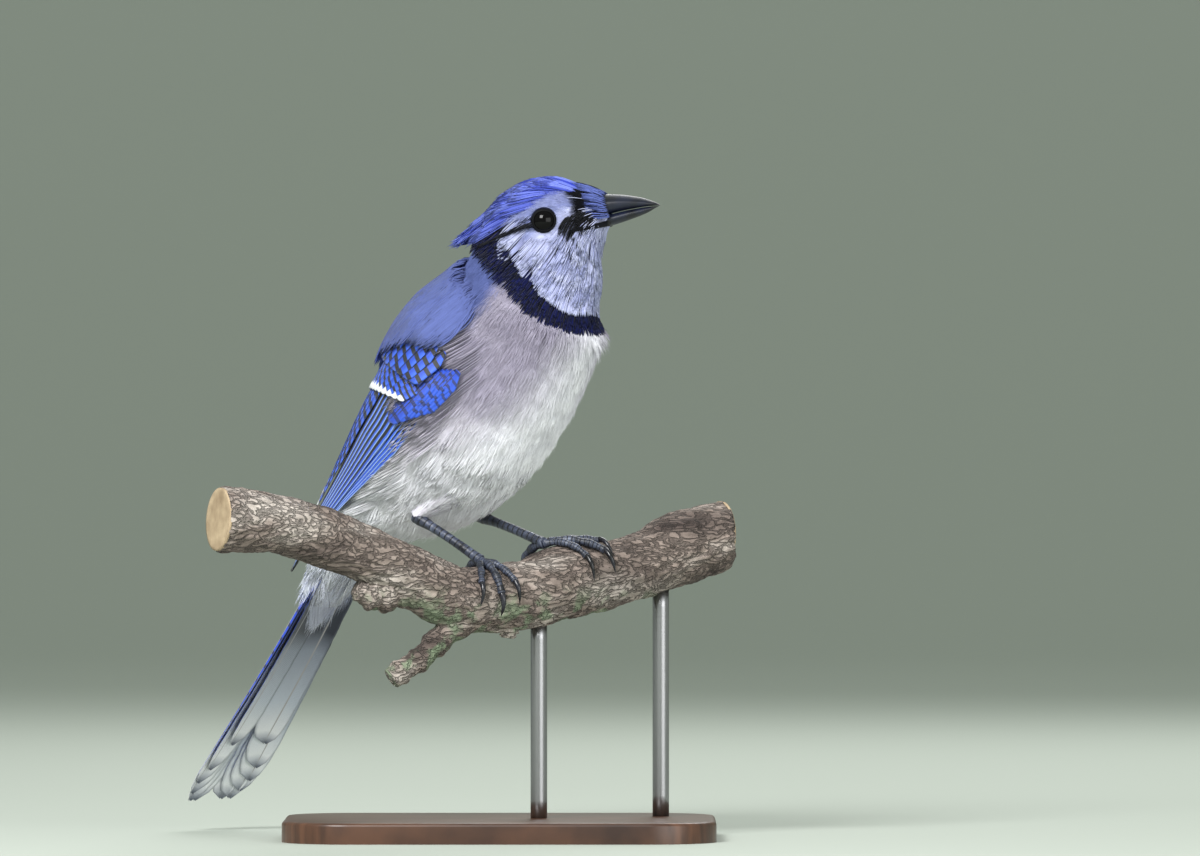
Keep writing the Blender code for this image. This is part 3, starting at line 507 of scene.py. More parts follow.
@dataclass(frozen=True)
class Markings:
    """Where each colour lies on the body, by section parameter and angle from the back."""

    necklace_angle: Row = (0.0, 24.0, 64.0, 92.0, 116.0, 136.0, 164.0, 180.0)
    necklace_s: Row = (7.4, 7.45, 7.5, 7.75, 8.15, 8.4, 8.1, 7.9)
    necklace_half: float = 0.55
    crown_s: Row = (0.0, 1.4, 2.2, 3.0, 3.9, 4.8, 5.6, 6.6, 7.6)
    crown_angle: Row = (66.0, 60.0, 52.0, 48.0, 52.0, 53.0, 49.0, 41.0, 26.0)
    eye_line_s: Row = (4.9, 5.4, 6.1, 7.0, 7.8)
    eye_line_angle: Row = (77.0, 71.0, 63.0, 49.0, 30.0)
    lore_angle: Row = (0.0, 34.0, 44.0, 70.0, 98.0)
    lore_s: Row = (1.5, 1.6, 2.1, 2.5, 3.1)
    lore_half: Row = (0.22, 0.3, 0.85, 0.66, 0.6)
    side_s: Row = (8.0, 9.0, 10.0, 11.2, 12.6, 14.0, 16.0, 20.0)
    mantle_angle: Row = (96.0, 84.0, 86.0, 84.0, 70.0, 58.0, 46.0, 40.0)
    belly_s: Row = (8.0, 9.0, 10.1, 11.4, 12.8, 14.0, 16.0, 20.0)
    belly_angle: Row = (176.0, 170.0, 162.0, 150.0, 124.0, 98.0, 66.0, 50.0)

    def tints(self, s: Array, angle: Array, wobble: Array) -> Array:
        """Colours of the plumage.

        Args:
            s: Section parameters.
            angle: Signed angles from the back.
            wobble: A random value of -1 to 1 per point, which ruffles the borders.

        Returns:
            One linear colour per point.
        """
        a = np.abs((np.asarray(angle) + 180.0) % 360.0 - 180.0)
        s = np.asarray(s, float) + 0.07 * wobble
        edge = a + 2.0 * wobble
        mantle = smooth(self.side_s, self.mantle_angle, np.clip(s, 8.0, 20.0))
        belly = smooth(self.belly_s, self.belly_angle, np.clip(s, 8.0, 20.0))
        flank = mix(Tint.BREAST, Tint.FLANK, step(11.0, 13.5, s))
        out = mix(flank, Tint.BELLY, step(-28.0, 20.0, edge - belly))
        out = mix(out, Tint.VENT, step(15.5, 17.5, s))
        out = mix(out, Tint.UNDERTAIL, step(18.2, 19.4, s))
        out = mix(out, Tint.MANTLE, step(6.0, -6.0, edge - mantle))
        necklace = smooth(self.necklace_angle, self.necklace_s, a)
        throat = mix(Tint.FACE_SHADE, Tint.FACE, np.clip(0.62 + 0.4 * wobble, 0, 1))
        out = mix(out, throat, step(0.1, -0.1, s - necklace))
        brow = step(2.6, 3.4, s) * step(86.0, 76.0, a) * step(0.1, -0.1, s - necklace)
        out = mix(out, Tint.BROW, brow * np.clip(0.7 + 0.3 * wobble, 0, 1))
        crown = smooth(self.crown_s, self.crown_angle, np.clip(s, 0.0, 7.6))
        top = mix(Tint.CROWN, Tint.CROWN_PALE, np.clip(0.25 + 0.35 * wobble, 0, 1))
        on_head = step(0.12, -0.12, s - necklace)
        out = mix(out, top, step(3.5, -3.5, edge - crown) * on_head)
        line = smooth(self.eye_line_s, self.eye_line_angle, np.clip(s, 4.9, 7.8))
        eye_line = step(4.2, 1.4, np.abs(a - line)) * step(4.6, 4.9, s) * step(8.0, 7.7, s)
        out = mix(out, Tint.NECKLACE, eye_line)
        lore_s = smooth(self.lore_angle, self.lore_s, np.clip(a, 0, 98))
        lore_half = smooth(self.lore_angle, self.lore_half, np.clip(a, 0, 98))
        lore = step(1.2, 0.75, np.abs(s - lore_s) / lore_half) * step(106.0, 96.0, edge)
        forehead = step(1.6, 1.9, s) * step(3.1, 2.7, s) * step(42.0, 34.0, edge)
        out = mix(out, Tint.CROWN_DEEP, forehead * 0.85)
        nasal = step(2.9, 2.5, s) * step(118.0, 108.0, edge)
        out = mix(out, Tint.NASAL, nasal)
        out = mix(out, Tint.LORE, lore)
        half = self.necklace_half * (1.0 + 0.35 * step(130.0, 60.0, a))
        band = step(1.25, 0.85, np.abs(s - necklace) / half)
        return mix(out, Tint.NECKLACE, band)

    def length(self, s: Array) -> Array:
        """Length of the contour feathers along the body."""
        return smooth((0, 1, 3, 5, 7, 9, 11, 14, 17, 20), (2.6, 3.2, 4.6, 6.4, 8.6, 10.5, 12.5, 15.0, 16.5, 15.0), s)

    def width(self, s: Array) -> Array:
        """Width of the contour feathers as a share of their usual width."""
        return smooth((0, 1, 3, 5, 7, 9, 12, 20), (0.40, 0.48, 0.62, 0.8, 0.95, 1.05, 1.2, 1.3), s)


class TuftSet:
    """The few tuft shapes that are scattered over the skin."""

    def __init__(self, name: str, strands: int, spread: float, rise: float, variants: int) -> None:
        """Builds the variants.

        Args:
            name: Collection name.
            strands: Strands in a tuft.
            spread: Half angle that the strands fan over.
            rise: How far the tips curl up, as a share of length.
            variants: Number of different tufts.
        """
        self.collection = bpy.data.collections.new(name)
        bpy.context.scene.collection.children.link(self.collection)
        for k in range(variants):
            random = np.random.default_rng(SEED + k)
            self._tuft(f"{name}_{k}", strands, spread, rise, random)

    def _tuft(self, name: str, strands: int, spread: float, rise: float,
              random: np.random.Generator) -> None:
        """One tuft of unit length along +Y, rising along +Z, as closed tapered spikes."""
        points, faces, local = [], [], []
        for k in range(strands):
            share = (k + 0.5) / strands * 2 - 1
            turn = math.radians(spread) * (share + random.normal(0, 0.16))
            length = random.uniform(0.66, 1.0) * (1.0 - 0.2 * share * share)
            start = np.array([share * 0.11, random.uniform(0.0, 0.2), 0.0])
            run = np.array([math.sin(turn), math.cos(turn), 0.0])
            side = np.array([run[1], -run[0], 0.0])
            tip = start + run * length + np.array([0, 0, rise * random.uniform(0.3, 1.3)])
            half = random.uniform(0.026, 0.038)
            first = len(points)
            for offset, lift in ((-1.0, 0.0), (1.0, 0.0), (0.0, 1.0)):
                points.append(start + side * half * offset + np.array([0, 0, half * lift * 0.5]))
                local.append((share * 0.5, 0.0, 0.0))
            points.append(tip)
            local.append((share * 0.5, 1.0, 0.0))
            faces += [(first, first + 2, first + 1), (first, first + 1, first + 3),
                      (first + 1, first + 2, first + 3), (first + 2, first, first + 3)]
        made = Builder.mesh(name, np.array(points) / MM, faces)
        Builder.face_out(made)
        Builder.attribute(made, "local", "FLOAT_VECTOR", np.array(local))
        bpy.context.scene.collection.objects.unlink(made)
        self.collection.objects.link(made)
        made.hide_render = True

    def remove(self) -> None:
        """Removes the tufts once the coat is made."""
        for made in list(self.collection.objects):
            bpy.data.objects.remove(made)
        bpy.data.collections.remove(self.collection)


class ScatterTree:
    """A Geometry Nodes tree that sets tufts on an emitter and realizes them."""

    def __init__(self) -> None:
        """Builds the tree and its named inputs."""
        self.tree = bpy.data.node_groups.new("Plumage", "GeometryNodeTree")
        face = self.tree.interface
        self.sockets = {}
        for name, kind in (("Geometry", "NodeSocketGeometry"), ("Tufts", "NodeSocketCollection"),
                           ("Distance", "NodeSocketFloat"), ("Tilt", "NodeSocketFloat"),
                           ("Jitter", "NodeSocketFloat"), ("Seed", "NodeSocketInt"),
                           ("Finish", "NodeSocketMaterial")):
            self.sockets[name] = face.new_socket(name, in_out="INPUT", socket_type=kind).identifier
        face.new_socket("Geometry", in_out="OUTPUT", socket_type="NodeSocketGeometry")
        self._build()

    def _node(self, kind: str, inputs: dict | None = None, **settings: object) -> bpy.types.Node:
        """Adds a node with its inputs and properties."""
        return add_node(self.tree, kind, inputs or {}, settings)

    def _named(self, name: str, kind: str = "FLOAT") -> object:
        """Reads a named attribute."""
        return self._node("GeometryNodeInputNamedAttribute", {"Name": name}, data_type=kind).outputs["Attribute"]

    def _random(self, low: float, high: float, seed: int) -> object:
        """A random float per point."""
        node = self._node("FunctionNodeRandomValue", {"Seed": seed}, data_type="FLOAT")
        floats = [socket for socket in node.inputs if socket.type == "VALUE"]
        floats[0].default_value, floats[1].default_value = low, high
        return next(socket for socket in node.outputs if socket.type == "VALUE")

    def _times(self, a: object, low: float, high: float, seed: int) -> object:
        """A socket's value times a random one."""
        return self._node("ShaderNodeMath", {0: a, 1: self._random(low, high, seed)}, operation="MULTIPLY").outputs[0]

    def _store(self, geometry: object, name: str, kind: str, domain: str, value: object) -> object:
        """Stores a value under a name."""
        node = self._node("GeometryNodeStoreNamedAttribute", {"Geometry": geometry, "Name": name},
                          data_type=kind, domain=domain)
        self.tree.links.new(value, next(s for s in node.inputs if s.name == "Value" and s.enabled))
        return node.outputs[0]

    def _build(self) -> None:
        """Links the nodes: scatter, turn, instance, realize, map and finish."""
        given = self._node("NodeGroupInput").outputs
        scatter = self._node("GeometryNodeDistributePointsOnFaces", {
            "Mesh": given["Geometry"], "Distance Min": given["Distance"], "Density Max": 6.0e6,
            "Density Factor": self._named("cover"), "Seed": given["Seed"]}, distribute_method="POISSON").outputs
        turn = self._node("FunctionNodeAxesToRotation", {
            "Primary Axis": scatter["Normal"], "Secondary Axis": self._named("flow", "FLOAT_VECTOR")},
            primary_axis="Z", secondary_axis="Y").outputs[0]
        euler = self._node("ShaderNodeCombineXYZ", {
            "X": self._times(given["Tilt"], 0.6, 1.4, 3), "Y": self._times(given["Jitter"], -1.0, 1.0, 5),
            "Z": self._times(given["Jitter"], -1.0, 1.0, 7)}).outputs[0]
        turned = self._node("FunctionNodeRotateRotation", {
            "Rotation": turn, "Rotate By": self._node("FunctionNodeEulerToRotation", {0: euler}).outputs[0]},
            rotation_space="LOCAL").outputs[0]
        length = self._times(self._named("reach"), 0.8, 1.15, 9)
        width = self._times(self._named("breadth"), 0.85, 1.15, 11)
        size = self._node("ShaderNodeCombineXYZ", {"X": width, "Y": length, "Z": width}).outputs[0]
        tufts = self._node("GeometryNodeCollectionInfo", {
            "Separate Children": True, "Reset Children": True, "Collection": given["Tufts"]}).outputs[0]
        placed = self._node("GeometryNodeInstanceOnPoints", {
            "Points": scatter["Points"], "Instance": tufts, "Pick Instance": True, "Rotation": turned,
            "Scale": size}).outputs[0]
        toned = self._store(placed, "tone", "FLOAT", "INSTANCE", self._random(0.86, 1.16, 13))
        realized = self._node("GeometryNodeRealizeInstances", {0: toned}).outputs[0]
        patch = self._node("ShaderNodeVectorMath", {0: self._named("local", "FLOAT_VECTOR"), "Scale": PATCH},
                           operation="SCALE").outputs[0]
        place = self._node("ShaderNodeVectorMath", {0: self._named("root_uv", "FLOAT_VECTOR"), 1: patch},
                           operation="ADD").outputs[0]
        mapped = self._store(realized, "OFBake", "FLOAT2", "CORNER", place)
        finish = self._node("GeometryNodeSetMaterial", {"Geometry": mapped, "Material": given["Finish"]})
        self._node("NodeGroupOutput", {0: finish.outputs[0]})

    def grow(self, emitter: Object, name: str, tufts: TuftSet, distance: float, tilt: float,
             jitter: float, seed: int, finish: Material) -> Object:
        """Turns an emitter into a piece of coat.

        Args:
            emitter: Open mesh with the attributes cover, flow, reach, breadth, tint and root_uv.
            name: Name of the piece.
            tufts: Shapes to set on it.
            distance: Least distance between roots, in millimetres.
            tilt: Angle in degrees by which tufts rise.
            jitter: Random turn in degrees.
            seed: Random seed.
            finish: Material.

        Returns:
            The coat piece as a plain mesh object; the emitter is removed.
        """
        modifier = emitter.modifiers.new("plumage", "NODES")
        values = {"Tufts": tufts.collection, "Distance": distance * MM, "Tilt": math.radians(tilt),
                  "Jitter": math.radians(jitter), "Seed": seed, "Finish": finish}
        modifier.node_group = self.tree
        for key, value in values.items():
            modifier[self.sockets[key]] = value
        graph = bpy.context.evaluated_depsgraph_get()
        mesh = bpy.data.meshes.new_from_object(emitter.evaluated_get(graph))
        mesh.name = name
        for old in ("cover", "flow", "reach", "breadth", "root_uv"):
            if old in mesh.attributes:
                mesh.attributes.remove(mesh.attributes[old])
        made = bpy.data.objects.new(name, mesh)
        bpy.context.scene.collection.objects.link(made)
        mesh.polygons.foreach_set("use_smooth", [False] * len(mesh.polygons))
        bpy.data.objects.remove(emitter)
        return made


class Strands:
    """Gathers long separate barbs into one mesh of closed tapered strands."""

    def __init__(self, name: str) -> None:
        """Starts an empty group of strands of STRAND_ROWS points each."""
        self.name = name
        self.paths, self.halves, self.tints, self.roots, self.tones = [], [], [], [], []

    def add(self, paths: Array, half: float, tints: Array, roots: Array, tone: Array | float) -> None:
        """Adds strands.

        Args:
            paths: Points of shape (strands, rows, 3), root first.
            half: Half width in millimetres.
            tints: One colour per strand.
            roots: One UV place per strand.
            tone: Brightness per strand.
        """
        count = len(paths)
        self.paths.append(paths)
        self.halves.append(np.full(count, half))
        self.tints.append(np.broadcast_to(tints, (count, 3)))
        self.roots.append(np.broadcast_to(roots, (count, 2)))
        self.tones.append(np.broadcast_to(tone, (count,)))

    def build(self, finish: Material) -> Object:
        """Makes the mesh with the attributes that the plumage material reads."""
        paths, half = np.concatenate(self.paths), np.concatenate(self.halves)
        count, rows = len(paths), STRAND_ROWS
        run = unit(np.gradient(paths, axis=1))
        side = unit(np.cross(run, np.array([0.31, -0.77, 0.56])))
        up = np.cross(side, run)
        width = half[:, None] * (0.75 + 0.9 * SHARES - 1.05 * SHARES ** 2)[None, :]
        width[:, -1] = 0.0
        body = np.stack([paths + side * width[..., None], paths - side * width[..., None],
                         paths + up * width[..., None]], axis=2)[:, :-1]
        per = (rows - 1) * 3 + 1
        points = np.concatenate([body.reshape(count, -1, 3), paths[:, -1:]], axis=1).reshape(-1, 3)
        faces = [(0, 2, 1)]
        for i in range(rows - 2):
            for j in range(3):
                a, b = i * 3 + j, i * 3 + (j + 1) % 3
                faces.append((a, b, b + 3, a + 3))
        last = (rows - 2) * 3
        faces += [(last + j, last + (j + 1) % 3, per - 1) for j in range(3)]
        every = [tuple(k * per + i for i in face) for k in range(count) for face in faces]
        places = np.append(np.repeat(SHARES[:-1], 3), 1.0)
        local = np.stack([np.tile(np.append(np.tile((-0.5, 0.5, 0.0), rows - 1), 0.0), count),
                          np.tile(places, count), np.zeros(count * per)], axis=-1)
        uvs = np.repeat(np.concatenate(self.roots), per, axis=0) + PATCH * local[:, :2]
        made = Builder.mesh(self.name, points, every, finish, uvs)
        Builder.attribute(made, "local", "FLOAT_VECTOR", local)
        Builder.tint(made, np.repeat(np.concatenate(self.tints), per, axis=0))
        Builder.attribute(made, "tone", "FLOAT", np.repeat(np.concatenate(self.tones), per))
        Builder.face_out(made)
        return made


@dataclass
class Plumage:
    """The skin and the coat of contour feathers over it."""

    shape: BodyShape
    markings: Markings = field(default_factory=Markings)
    depth: float = 2.0
    bands: tuple[tuple[float, float], ...] = (
        (0.0, 4.4), (4.4, 6.4), (6.4, 8.2), (8.2, 9.6), (9.6, 10.8), (10.8, 12.0), (12.0, 13.3),
        (13.3, 14.8), (14.8, 16.6), (16.6, 20.0))
    root_distance: Row = (0.66, 0.92, 1.06, 1.12, 1.14, 1.14, 1.14, 1.16, 1.18, 1.2)

    def uv(self, s: Array, angle: Array) -> Array:
        """Place on the skin's unwrap: round the body and along it."""
        return np.stack([0.02 + 0.96 * (np.asarray(angle) + 180.0) / 360.0,
                         0.02 + 0.96 * np.asarray(s) / self.shape.end], axis=-1)

    def bed(self, s: Array) -> Array:
        """Height of the skin over the outline, which is negative: the coat's depth, less at the bill."""
        return -self.depth * np.clip(0.35 + s * 0.25, 0.0, 1.0)

    def skin(self, finish: Material) -> Object:
        """One closed skin that lies inside the solids by the coat's depth."""
        rows, columns = 150, 97
        s = np.linspace(0.0, self.shape.end, rows)[:, None]
        a = np.linspace(-180.0, 180.0, columns)[None, :]
        depth = self.bed(s) * step(20.6, 18.0, s)
        points = self.shape.points(s, a, depth).reshape(-1, 3)
        grid_s, grid_a = np.broadcast_arrays(s, a)
        uvs = self.uv(grid_s, grid_a).reshape(-1, 2)
        tints = self.markings.tints(grid_s.reshape(-1), grid_a.reshape(-1), np.zeros(rows * columns))
        faces = Builder.grid_faces(rows, columns)
        extra, extra_uv = [], []
        for end in (0, rows - 1):
            extra.append(points[end * columns:(end + 1) * columns - 1].mean(axis=0))
            extra_uv.append((0.5, 0.005 if end == 0 else 0.995))
            middle = rows * columns + (0 if end == 0 else 1)
            for j in range(columns - 1):
                a0, b0 = end * columns + j, end * columns + j + 1
                faces.append((middle, b0, a0) if end == 0 else (middle, a0, b0))
        points = np.vstack([points, extra])
        made = Builder.mesh("skin", points, faces, finish, np.vstack([uvs, extra_uv]))
        Builder.tint(made, np.vstack([tints, tints[0], tints[-1]]) * 0.9)
        Builder.face_out(made, weld=True)
        return made

    def emitter(self, name: str, s: Array, a: Array, height: Array, cover: Array, lean: Array) -> Object:
        """An open patch over the body that carries what the scatter needs.

        Args:
            name: Object name.
            s: Section parameters of the rows.
            a: Angles of the columns.
            height: Height over the outline.
            cover: Density per point, 0 to 1.
            lean: Angle by which the lie of the feathers turns towards the belly.

        Returns:
            The patch.
        """
        grid_s, grid_a = np.broadcast_arrays(np.asarray(s, float)[:, None], np.asarray(a, float)[None, :])
        shape = grid_s.shape
        points = self.shape.points(grid_s, grid_a, height)
        back = unit(self.shape.points(np.clip(grid_s + 0.1, 0, self.shape.end), grid_a, height)
                    - self.shape.points(np.clip(grid_s - 0.1, 0, self.shape.end), grid_a, height))
        round_ = unit(self.shape.points(grid_s, grid_a + 1.0) - self.shape.points(grid_s, grid_a - 1.0))
        turn = np.radians(lean * np.sign(grid_a))
        flow = unit(back * np.cos(turn)[..., None] + round_ * np.sin(turn)[..., None])
        faces = Builder.grid_faces(*shape)
        made = Builder.mesh(name, points.reshape(-1, 3), faces)
        mesh_normal = self.shape.normals(grid_s, grid_a).reshape(-1, 3)
        first = made.data.polygons[len(made.data.polygons) // 2]
        if np.dot(first.normal, mesh_normal[first.vertices[0]]) < 0:
            made.data.flip_normals()
        flat_s, flat_a = grid_s.reshape(-1), grid_a.reshape(-1)
        wobble = np.random.default_rng(SEED).uniform(-1, 1, flat_s.shape)
        pace = np.interp(flat_s, (0, 8, 10, 12, 20), (5.0, 7.2, 9.0, 14.0, 14.0))
        lead = 0.85 * self.markings.length(flat_s) / pace
        tints = self.markings.tints(np.clip(flat_s + lead, 0, self.shape.end), flat_a, wobble)
        uv = self.uv(flat_s, np.clip(flat_a, -180, 180))
        Builder.attribute(made, "cover", "FLOAT", cover)
        Builder.attribute(made, "flow", "FLOAT_VECTOR", flow)
        Builder.attribute(made, "reach", "FLOAT", self.markings.length(flat_s) * MM)
        Builder.attribute(made, "breadth", "FLOAT", self.markings.width(flat_s) * 8.0 * MM)
        Builder.tint(made, tints)
        Builder.attribute(made, "root_uv", "FLOAT_VECTOR", np.hstack([uv, np.zeros((flat_s.size, 1))]))
        return made

    def cover(self, s: Array, a: Array) -> Array:
        """Density of the coat: none at the eyes and little under the folded wings."""
        angle = np.abs(a)
        under_wing = step(11.2, 11.9, s) * step(16.5, 15.0, s) * step(22.0, 32.0, angle) * step(84.0, 72.0, angle)
        eye = np.hypot((s - EyeSet.section) / 0.62, (angle - EyeSet.angle) / 17.0)
        return np.clip((1.0 - under_wing), 0.0, 1.0) * step(0.86, 1.02, eye)

    def coat(self, tree: ScatterTree, soft: TuftSet, finish: Material) -> list[Object]:
        """All bands of the coat, each as one piece."""
        made = []
        for k, ((start, end), distance) in enumerate(zip(self.bands, self.root_distance)):
            s = np.linspace(start, end, 50 if k else 90)
            a = np.linspace(-180.0, 180.0, 181)
            grid_s, grid_a = np.broadcast_arrays(s[:, None], a[None, :])
            depth = self.bed(grid_s) * 0.9
            lean = 10.0 * step(11.0, 14.0, grid_s) * step(60.0, 100.0, np.abs(grid_a))
            patch = self.emitter(f"emitter_{k}", s, a, depth, self.cover(grid_s, grid_a), lean)
            tilt = 5.0 if start < 8 else 7.0
            made.append(tree.grow(patch, f"coat_{k}", soft, distance, tilt, 11.0 if start > 8 else 8.0,
                                  SEED + k, finish))
        return made


@dataclass
class Locks:
    """Longer feathers that leave the body's outline: crest, bristles, mantle, flanks and shanks."""

    plumage: Plumage
    crest_tip: Triple = (-19.2, -4.0, 227.6)
    nasal_reach: float = 4.4
    gape_hinge: Triple = (42.5, -14.1, 237.7)
    crest_clumps: int = 230
    throat_clumps: int = 520
    mantle_clumps: int = 250
    flank_clumps: int = 340
    undertail_clumps: int = 240
    collar_strands: int = 1700
    shank_strands: int = 900
    mantle_angle: Row = (8.0, 25.0, 45.0, 62.0, 80.0, 100.0)
    mantle_tip: Row = (-14.0, -9.0, 2.0, 13.0, 24.0, 30.0)

    def lie(self, s: Array, angle: Array, length: Array, low: Array | float, high: Array | float,
            turn: Array | float = 0.0) -> Array:
        """Paths that lie back along the body from their roots.

        Args:
            s: Section parameter of each root.
            angle: Angle of each root.
            length: Length of each path.
            low: Height of the root over the outline.
            high: Height of the tip.
            turn: Degrees by which the path turns to growing angles.

        Returns:
            An array of shape (paths, STRAND_ROWS, 3).
        """
        shape = self.plumage.shape
        s, angle = s.astype(float).copy(), angle.astype(float).copy()
        turn, out = np.radians(turn), []
        for share in SHARES:
            out.append(shape.points(s, angle, low + (high - low) * share ** 1.3))
            here = shape.points(s, angle)
            pace = np.linalg.norm(shape.points(s + 0.05, angle) - here, axis=-1) / 0.05
            swing = np.linalg.norm(shape.points(s, angle + 1.0) - here, axis=-1)
            s = np.clip(s + length / (STRAND_ROWS - 1) * np.cos(turn) / pace, 0, shape.end - 0.1)
            angle = angle + length / (STRAND_ROWS - 1) * np.sin(turn) / swing
        return np.stack(out, axis=1)

    def clump(self, random: np.random.Generator, s: float, angle: float, spread: tuple[float, float],
              count: int) -> tuple[Array, Array]:
        """Roots of a clump of strands, scattered round one place along and round the body."""
        return s + random.normal(0, spread[0], count), angle + random.normal(0, spread[1], count)

    def crest(self, finish: Material) -> Object:
        """Locks that lie back over the crown and run out to a point behind the nape."""
        random, group = np.random.default_rng(SEED), Strands("crest_locks")
        for _ in range(self.crest_clumps):
            s0, a0 = random.uniform(1.9, 6.3), random.uniform(-54, 54)
            limit = smooth(self.plumage.markings.crown_s, self.plumage.markings.crown_angle, s0) + 1
            if abs(a0) > limit:
                continue
            count = 16
            s, a = self.clump(random, s0, a0, (0.10, 2.6), count)
            length = random.uniform(0.75, 1.0, count) * np.interp(s0, (2, 4, 6.3), (9, 15, 17))
            high = np.interp(s0, (2.0, 4.0, 6.3), (0.9, 1.7, 2.6)) * random.uniform(0.5, 1.2)
            paths = self.lie(s, a, length, -1.2, high, -a0 * 0.35)
            if s0 > 4.4 and abs(a0) < 30:
                share = SHARES[None, :, None] ** 1.5
                tip = np.array(self.crest_tip) + random.normal(0, 0.7, (count, 1, 3))
                tip = tip + np.array([1.0, 0.1, 0.8]) * random.uniform(0, 7, (count, 1, 1))
                blend = np.interp(s0, (4.4, 5.6), (0.0, 1.0))
                paths = paths * (1 - share * blend) + tip * share * blend
            shade = random.uniform(0, 1)
            tint = mix(Tint.CROWN, Tint.CROWN_PALE, np.array(shade ** 1.6))
            if random.uniform() < 0.16:
                tint = mix(tint, Tint.CROWN_DEEP, np.array(0.6))
            group.add(paths, 0.24, tint, self.plumage.uv(s, a), random.uniform(0.86, 1.12, count))
        return group.build(finish)

    def face(self, finish: Material) -> Object:
        """Nasal bristles over the bill's root, dark streaks behind the gape and the chin's wisps."""
        random, group = np.random.default_rng(SEED + 1), Strands("face_barbs")
        self._bristles(random, group)
        for hand in (1, -1):
            self._streaks(random, group, hand)
            self._gape(random, group, hand)
            self._eye_line(random, group, hand)
        self._chin(random, group)
        return group.build(finish)

    def _bristles(self, random: np.random.Generator, group: Strands) -> None:
        """Bristles that point forward over the bill's root."""
        shape, count = self.plumage.shape, 640
        forward = axes(6.0, -6.0)[0]
        s, a = random.uniform(0.4, 2.1, count), random.uniform(-114, 114, count)
        root = shape.points(s, a, -0.5)
        tip = shape.points(np.zeros(count), a, 0.35) + forward * (
            self.nasal_reach * random.uniform(0.45, 1.0, count) * (1 - 0.6 * np.abs(a) / 114))[:, None]
        share = SHARES[None, :, None]
        paths = root[:, None] * (1 - share) + tip[:, None] * share
        lift = unit(root - shape.sections(s)[:, :3])[:, None] * np.sin(np.pi * share) * 1.1
        tint = mix(Tint.NASAL, Tint.CROWN_PALE, random.uniform(0, 0.25, count))
        dark = (random.uniform(0, 1, count) < 0.22)[:, None]
        group.add(paths + lift, 0.17, np.where(dark, Tint.LORE, tint), self.plumage.uv(s, a),
                  random.uniform(0.8, 1.1, count))

    def _streaks(self, random: np.random.Generator, group: Strands, hand: int) -> None:
        """Dark streaks from the eye and the gape down one side."""
        for low_s, high_s, low_a, high_a, number, tint in (
                (2.2, 4.2, 92, 110, 110, Tint.LORE), (2.8, 5.0, 104, 128, 34, Tint.NECKLACE),
                (1.2, 2.6, 96, 118, 60, Tint.LORE)):
            s, a = random.uniform(low_s, high_s, number), random.uniform(low_a, high_a, number) * hand
            length = random.uniform(3.5, 6.5, number)
            paths = self.lie(s, a, length, -0.8, 0.9, hand * 16.0)
            group.add(paths, 0.15, np.array(tint), self.plumage.uv(s, a), 1.0)

    def _gape(self, random: np.random.Generator, group: Strands, hand: int) -> None:
        """The dark wedge behind the bill's hinge on one side."""
        number, share = 70, SHARES[None, :, None]
        corner = self.plumage.shape.points(np.array(4.1), np.array(106.0 * hand), 0.5)
        right = axes(6.0, 0.0)[2]
        hinge = np.array(self.gape_hinge) + right * hand * 3.6
        low = random.uniform(0, 1, number)[:, None, None]
        start = corner + (hinge - corner) * random.uniform(0, 0.45, number)[:, None, None]
        paths = start * (1 - share) + (hinge + np.array([0.6, 0.0, 0.0])) * share
        bulge = np.sin(np.pi * share) * right * hand * 1.6
        drop = np.array([0.0, 0.0, -2.3]) * low * (0.25 + 0.75 * share)
        group.add(paths + bulge + drop, 0.3, np.array(Tint.LORE), self.plumage.uv(2.0, 110.0 * hand), 1.0)

    def _eye_line(self, random: np.random.Generator, group: Strands, hand: int) -> None:
        """The dark line behind one eye."""
        line, number = self.plumage.markings, 90
        s = random.uniform(4.9, 7.2, number)
        a = (smooth(line.eye_line_s, line.eye_line_angle, s) + random.normal(0, 0.9, number)) * hand
        paths = self.lie(s, a, np.full(number, 5.0), -0.4, 1.5, -6.0 * hand)
        group.add(paths, 0.2, np.array(Tint.NECKLACE), self.plumage.uv(s, a), 1.0)

    def _chin(self, random: np.random.Generator, group: Strands) -> None:
        """Pale wisps under the bill's root."""
        count = 420
        s, a = random.uniform(0.2, 2.4, count), 180 + random.normal(0, 34, count)
        paths = self.lie(s, a, random.uniform(4.5, 7.5, count), -0.7, 1.5)
        tint = mix(Tint.FACE, Tint.FACE_SHADE, random.uniform(0, 1, count) ** 2)
        group.add(paths, 0.15, tint, self.plumage.uv(s, a - 360 * (a > 180)), random.uniform(0.9, 1.1, count))

